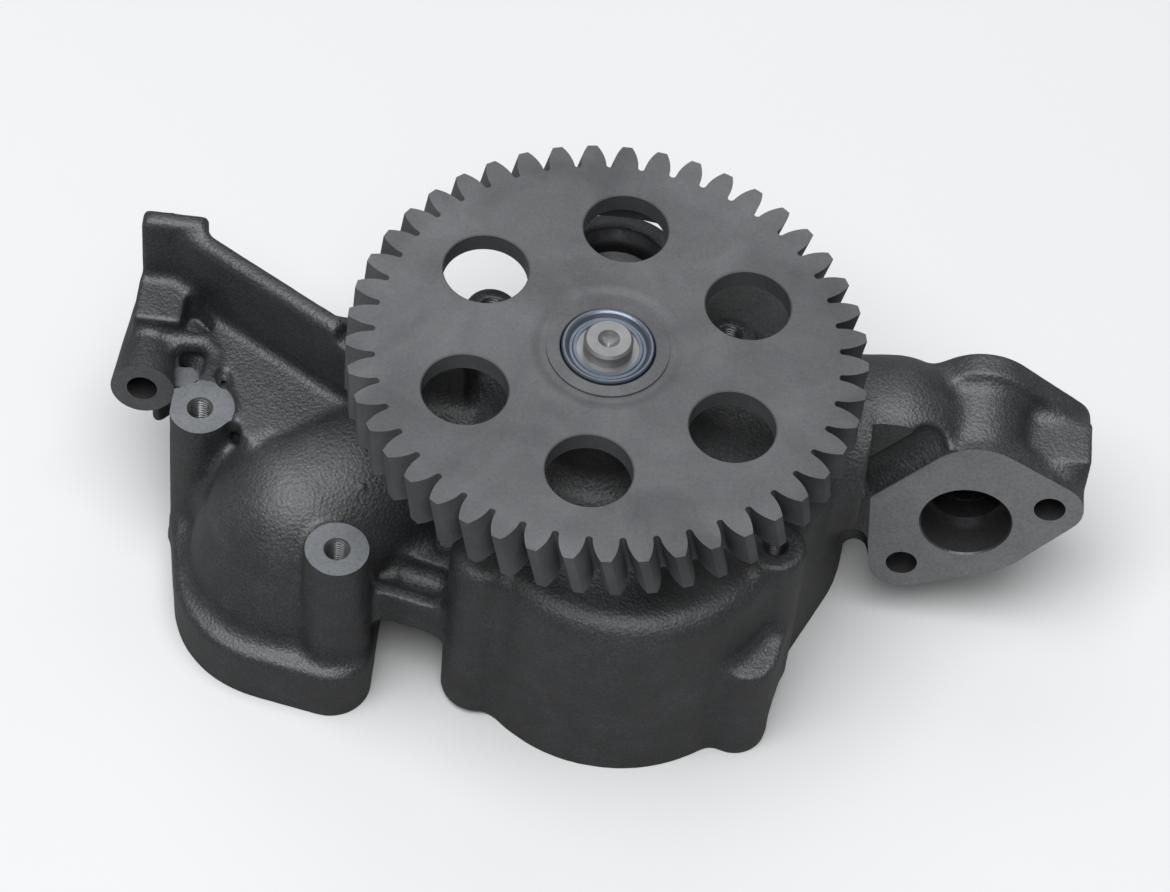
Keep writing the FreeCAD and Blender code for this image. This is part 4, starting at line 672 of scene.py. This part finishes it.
def machined_cutters(iron, milled, spotted, threaded, bored, dull):
    """Groups of cutters for the machined faces and bores, with the material that each leaves."""
    inward = -FACE_OUT
    mouth = face_point(0.0, 0.0)
    ear = np.array((EAR[0], face_y(EAR[1]), EAR[1]))
    aim = Vector((58.0, 19.0 - TOWER_Y, 0)).normalized()
    spot = Vector((0, TOWER_Y, 14.0)) - aim * 22.3
    faces = [
        (block("cut_base", (-200, -120, -30), (200, 120, 0)), milled),
        (rod("cut_boss", 27.0, (0, 0, BOSS_TOP), (0, 0, BOSS_TOP + 12)), milled),
        (face_block("cut_ear", EAR[0], 22.0), dull),
        (flange_prism("cut_flange"), milled),
        (rod("cut_gallery_spot", GALLERY_SPOT_RADIUS, spot, spot - aim * 6), milled),
        # Pad by the loop: its light spot-faced top is a painted patch of light
        (rod("cut_painted_light_pad", PAINTED_LIGHT_PAD_RADIUS, (*PAINTED_LIGHT_PAD_PLACE, PAINTED_LIGHT_PAD_TOP), (*PAINTED_LIGHT_PAD_PLACE, PAINTED_LIGHT_PAD_TOP + 6)), spotted),
    ]
    holes = [
        (rod("cut_ear_hole", EAR_HOLE_RADIUS, ear - inward * 3, ear + inward * 60), bored),
        (turned_cutter("cut_outlet", OUTLET_STEPS, mouth, inward), bored),
        (rod("cut_suction", SUCTION_RADIUS, (*ELBOW, -1), (*ELBOW, SUCTION_DEPTH)), bored),
        (turned_cutter("cut_relief", RELIEF_STEPS, (0, TOWER_Y, 0)), bored),
        (rod("cut_drive_chamber", CHAMBER_RADIUS, (0, 0, CHAMBER_FLOOR - 1), (0, 0, CHAMBER_ROOF)), bored),
    ]
    inner = [
        (rod("cut_idler_chamber", CHAMBER_RADIUS, (*IDLER, CHAMBER_FLOOR - 1),
             (*IDLER, CHAMBER_ROOF)), bored),
        (turned_cutter("cut_seal", SEAL_GROOVE, (*ELBOW, 0), hoop=True), bored),
        (rod("cut_bush", BUSH_RADIUS, (0, 0, CHAMBER_ROOF - 1), (0, 0, BOSS_TOP + 1)), bored),
        (rod("cut_gallery_thread", GALLERY_RADIUS, spot, spot + aim * 10), bored),
        (face_block("cut_beside_flange", OUTLET[0] + 2, 76.0, 0.3), iron),
    ]
    deep = [
        (stadium_prism("cut_cover", ((*COVER_CENTRE, 46.3), (0.0, 0.0, 38.0)), -1.0, CHAMBER_FLOOR), milled),
        (rod("cut_idler_shaft", IDLER_SHAFT_RADIUS, (*IDLER, CHAMBER_ROOF - 1), (*IDLER, 74.0)), bored),
    ]
    for index, (x, y) in enumerate(POSTS):
        faces.append((rod("cut_post_%d" % index, 11.3, (x, y, POST_TOP), (x, y, POST_TOP + 12)), spotted))
        holes.append((thread_cutter("cut_post_thread_%d" % index, x, y, POST_TOP), threaded))
    for index, (x, y, top) in enumerate((RIGHT_COLUMN,) + REAR_COLUMNS):
        holes.append((thread_cutter("cut_column_thread_%d" % index, x, y, top), bored))
    for index, (u, v, _) in enumerate((RIGHT_LOBE, LEFT_LOBE)):
        start, end = face_point(u, v) - inward * 3, face_point(u, v) + inward * 60
        holes.append((rod("cut_bolt_%d" % index, BOLT_HOLE_RADIUS, start, end), bored))
    for index, (x, y, top) in enumerate(screw_places()):
        inner.append((rod("cut_screw_%d" % index, 3.0, (x, y, 13.0), (x, y, top), 32), bored))
    groups = []
    for group in (faces, holes, inner, deep):
        for ob, material in group:
            ob.data.materials.append(material)
        groups.append([ob for ob, _ in group])
    return groups


def dress(name, material):
    """Gives a piece its one material."""
    mesh = nodes[name].data
    mesh.materials.clear()
    mesh.materials.append(material)


def shade(ob, degrees):
    """Smooth shading with sharp edges above an angle."""
    ob.data.shade_smooth()
    ob.data.set_sharp_from_angle(angle=math.radians(degrees))


def joined(objects):
    """One object from several, their materials kept."""
    with bpy.context.temp_override(active_object=objects[0], selected_editable_objects=objects):
        bpy.ops.object.join()
    return objects[0]


def make_casting(skin, *machined):
    """Cast skin with its machined faces and bores, in place of the plain housing."""
    p, t, q = cast_skin()
    casting = new_mesh("housing_casting", p, t, q)
    casting.data.materials.append(skin)
    uneven(casting)
    difference(casting, [joined(group) for group in machined_cutters(skin, *machined)])
    shade(casting, 38)
    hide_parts("pump_housing")
    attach(casting, "housing")


def make_stage():
    """Pale floor, shown bright to the camera alone, and a weak world."""
    floor_mesh = bpy.data.meshes.new("floor")
    half = 6.0
    corners = [(-half, -half, 0), (half, -half, 0), (half, half, 0), (-half, half, 0)]
    floor_mesh.from_pydata(corners, [], [(0, 1, 2, 3)])
    floor = bpy.data.objects.new("floor", floor_mesh)
    floor.location.z = -0.0002
    scene.collection.objects.link(floor)
    s = Shader("floor")
    soft = s.noise(3.0, 2.0, 0.5)
    s.finish(s.ramp(soft, [(0.3, 0.69), (0.7, 0.70)]), 0.9)
    s.set("Specular IOR Level", 0.1)
    bounce = s.add("ShaderNodeBsdfDiffuse")
    bounce.inputs["Color"].default_value = (FLOOR_BOUNCE, FLOOR_BOUNCE, FLOOR_BOUNCE, 1.0)
    seen = s.add("ShaderNodeLightPath").outputs["Is Camera Ray"]
    blend = s.add("ShaderNodeMixShader")
    s.link(seen, blend.inputs["Fac"])
    s.link(bounce.outputs["BSDF"], blend.inputs[1])
    s.link(s.bsdf.outputs["BSDF"], blend.inputs[2])
    s.link(blend.outputs["Shader"], s.tree.nodes["Material Output"].inputs["Surface"])
    floor_mesh.materials.append(s.material)
    world = bpy.data.worlds.new("studio")
    scene.world = world
    world.use_nodes = True
    back = world.node_tree.nodes["Background"]
    back.inputs["Color"].default_value = (0.97, 0.985, 1.0, 1.0)
    back.inputs["Strength"].default_value = WORLD_LEVEL


def area_light(name, place, target, size, size_y, watts, colour=(1.0, 1.0, 1.0)):
    data = bpy.data.lights.new(name, "AREA")
    data.shape = "RECTANGLE"
    data.size = size
    data.size_y = size_y
    data.energy = watts
    data.color = colour
    lamp = bpy.data.objects.new(name, data)
    lamp.location = place
    aim = Vector(target) - Vector(place)
    lamp.rotation_euler = aim.to_track_quat("-Z", "Y").to_euler()
    scene.collection.objects.link(lamp)


def make_lights():
    """One large soft box overhead and a weak one behind."""
    area_light("overhead", (-0.3, -0.65, 2.95), (0, 0, 0), 2.6, 2.6, 128.0, (0.98, 0.99, 1.0))
    area_light("rear", (-0.2, 2.3, 2.7), (0, 0, 0), 2.4, 1.3, 15.0, (0.97, 0.985, 1.0))


make_camera()
make_stage()
make_lights()

iron = cast_iron()
gear = gear_steel()
steel = turned_steel("turned_steel", 0.22, 0.30, 2600.0, 0.32)
ring_steel = turned_steel("ring_steel", (0.125, 0.15, 0.185), (0.18, 0.21, 0.25), 1800.0, 0.33)
milled = ground_face("milled_iron", (0.235, 0.239, 0.245), (0.28, 0.285, 0.291), 0.42, 0.3)
spotted = ground_face("spotfaced_iron", (0.135, 0.142, 0.152), (0.175, 0.182, 0.193), 0.42, 0.4)
threaded = ground_face("threaded_iron", (0.15, 0.153, 0.157), (0.22, 0.224, 0.23), 0.3, 0.8)
dull = ground_face("dull_iron", (0.105, 0.108, 0.112), (0.135, 0.139, 0.143), 0.45, 0.3)
bored = ground_face("bored_iron", (0.10, 0.10, 0.105), (0.15, 0.15, 0.155), 0.36)
sintered = ground_face("sintered_steel", (0.20, 0.20, 0.20), (0.26, 0.26, 0.26))
bronze = turned_steel("bronze", (0.36, 0.25, 0.12), (0.46, 0.33, 0.17), 2600.0, 0.34)
copper = turned_steel("copper", (0.50, 0.26, 0.16), (0.60, 0.33, 0.21), 2600.0, 0.36)
zinc = turned_steel("zinc_steel", (0.30, 0.31, 0.32), (0.41, 0.42, 0.43), 2200.0, 0.36)
seal = rubber()
gasket = paper()

dress("bottom_cover", milled)
dress("drive_gear", gear)
for name in ("drive_shaft", "shaft_key", "idler_shaft", "dowel_pins"):
    dress(name, steel)
dress("gear_clamp_ring", ring_steel)
for name in ("pump_driving_gear", "pump_driven_gear", "relief_piston", "relief_spring"):
    dress(name, sintered)
for name in ("idler_bush", "upper_drive_bush", "lower_drive_bush", "thrust_washer"):
    dress(name, bronze)
for name in ("relief_plug_washer", "gallery_plug_washer"):
    dress(name, copper)
for name in ("relief_plug", "gallery_plug", "cover_screws"):
    dress(name, zinc)
dress("suction_seal", seal)
dress("cover_gasket", gasket)
dress("pump_housing", iron)
for name, ob in nodes.items():
    if name != "pump_housing":
        shade(ob, 30)
make_casting(iron, milled, spotted, threaded, bored, dull)
edges = nodes["drive_gear"].modifiers.new("broken_edges", "BEVEL")
edges.width = 0.0003
edges.segments = 2
edges.limit_method = "ANGLE"
edges.angle_limit = math.radians(50)

scene.view_settings.view_transform = "Standard"
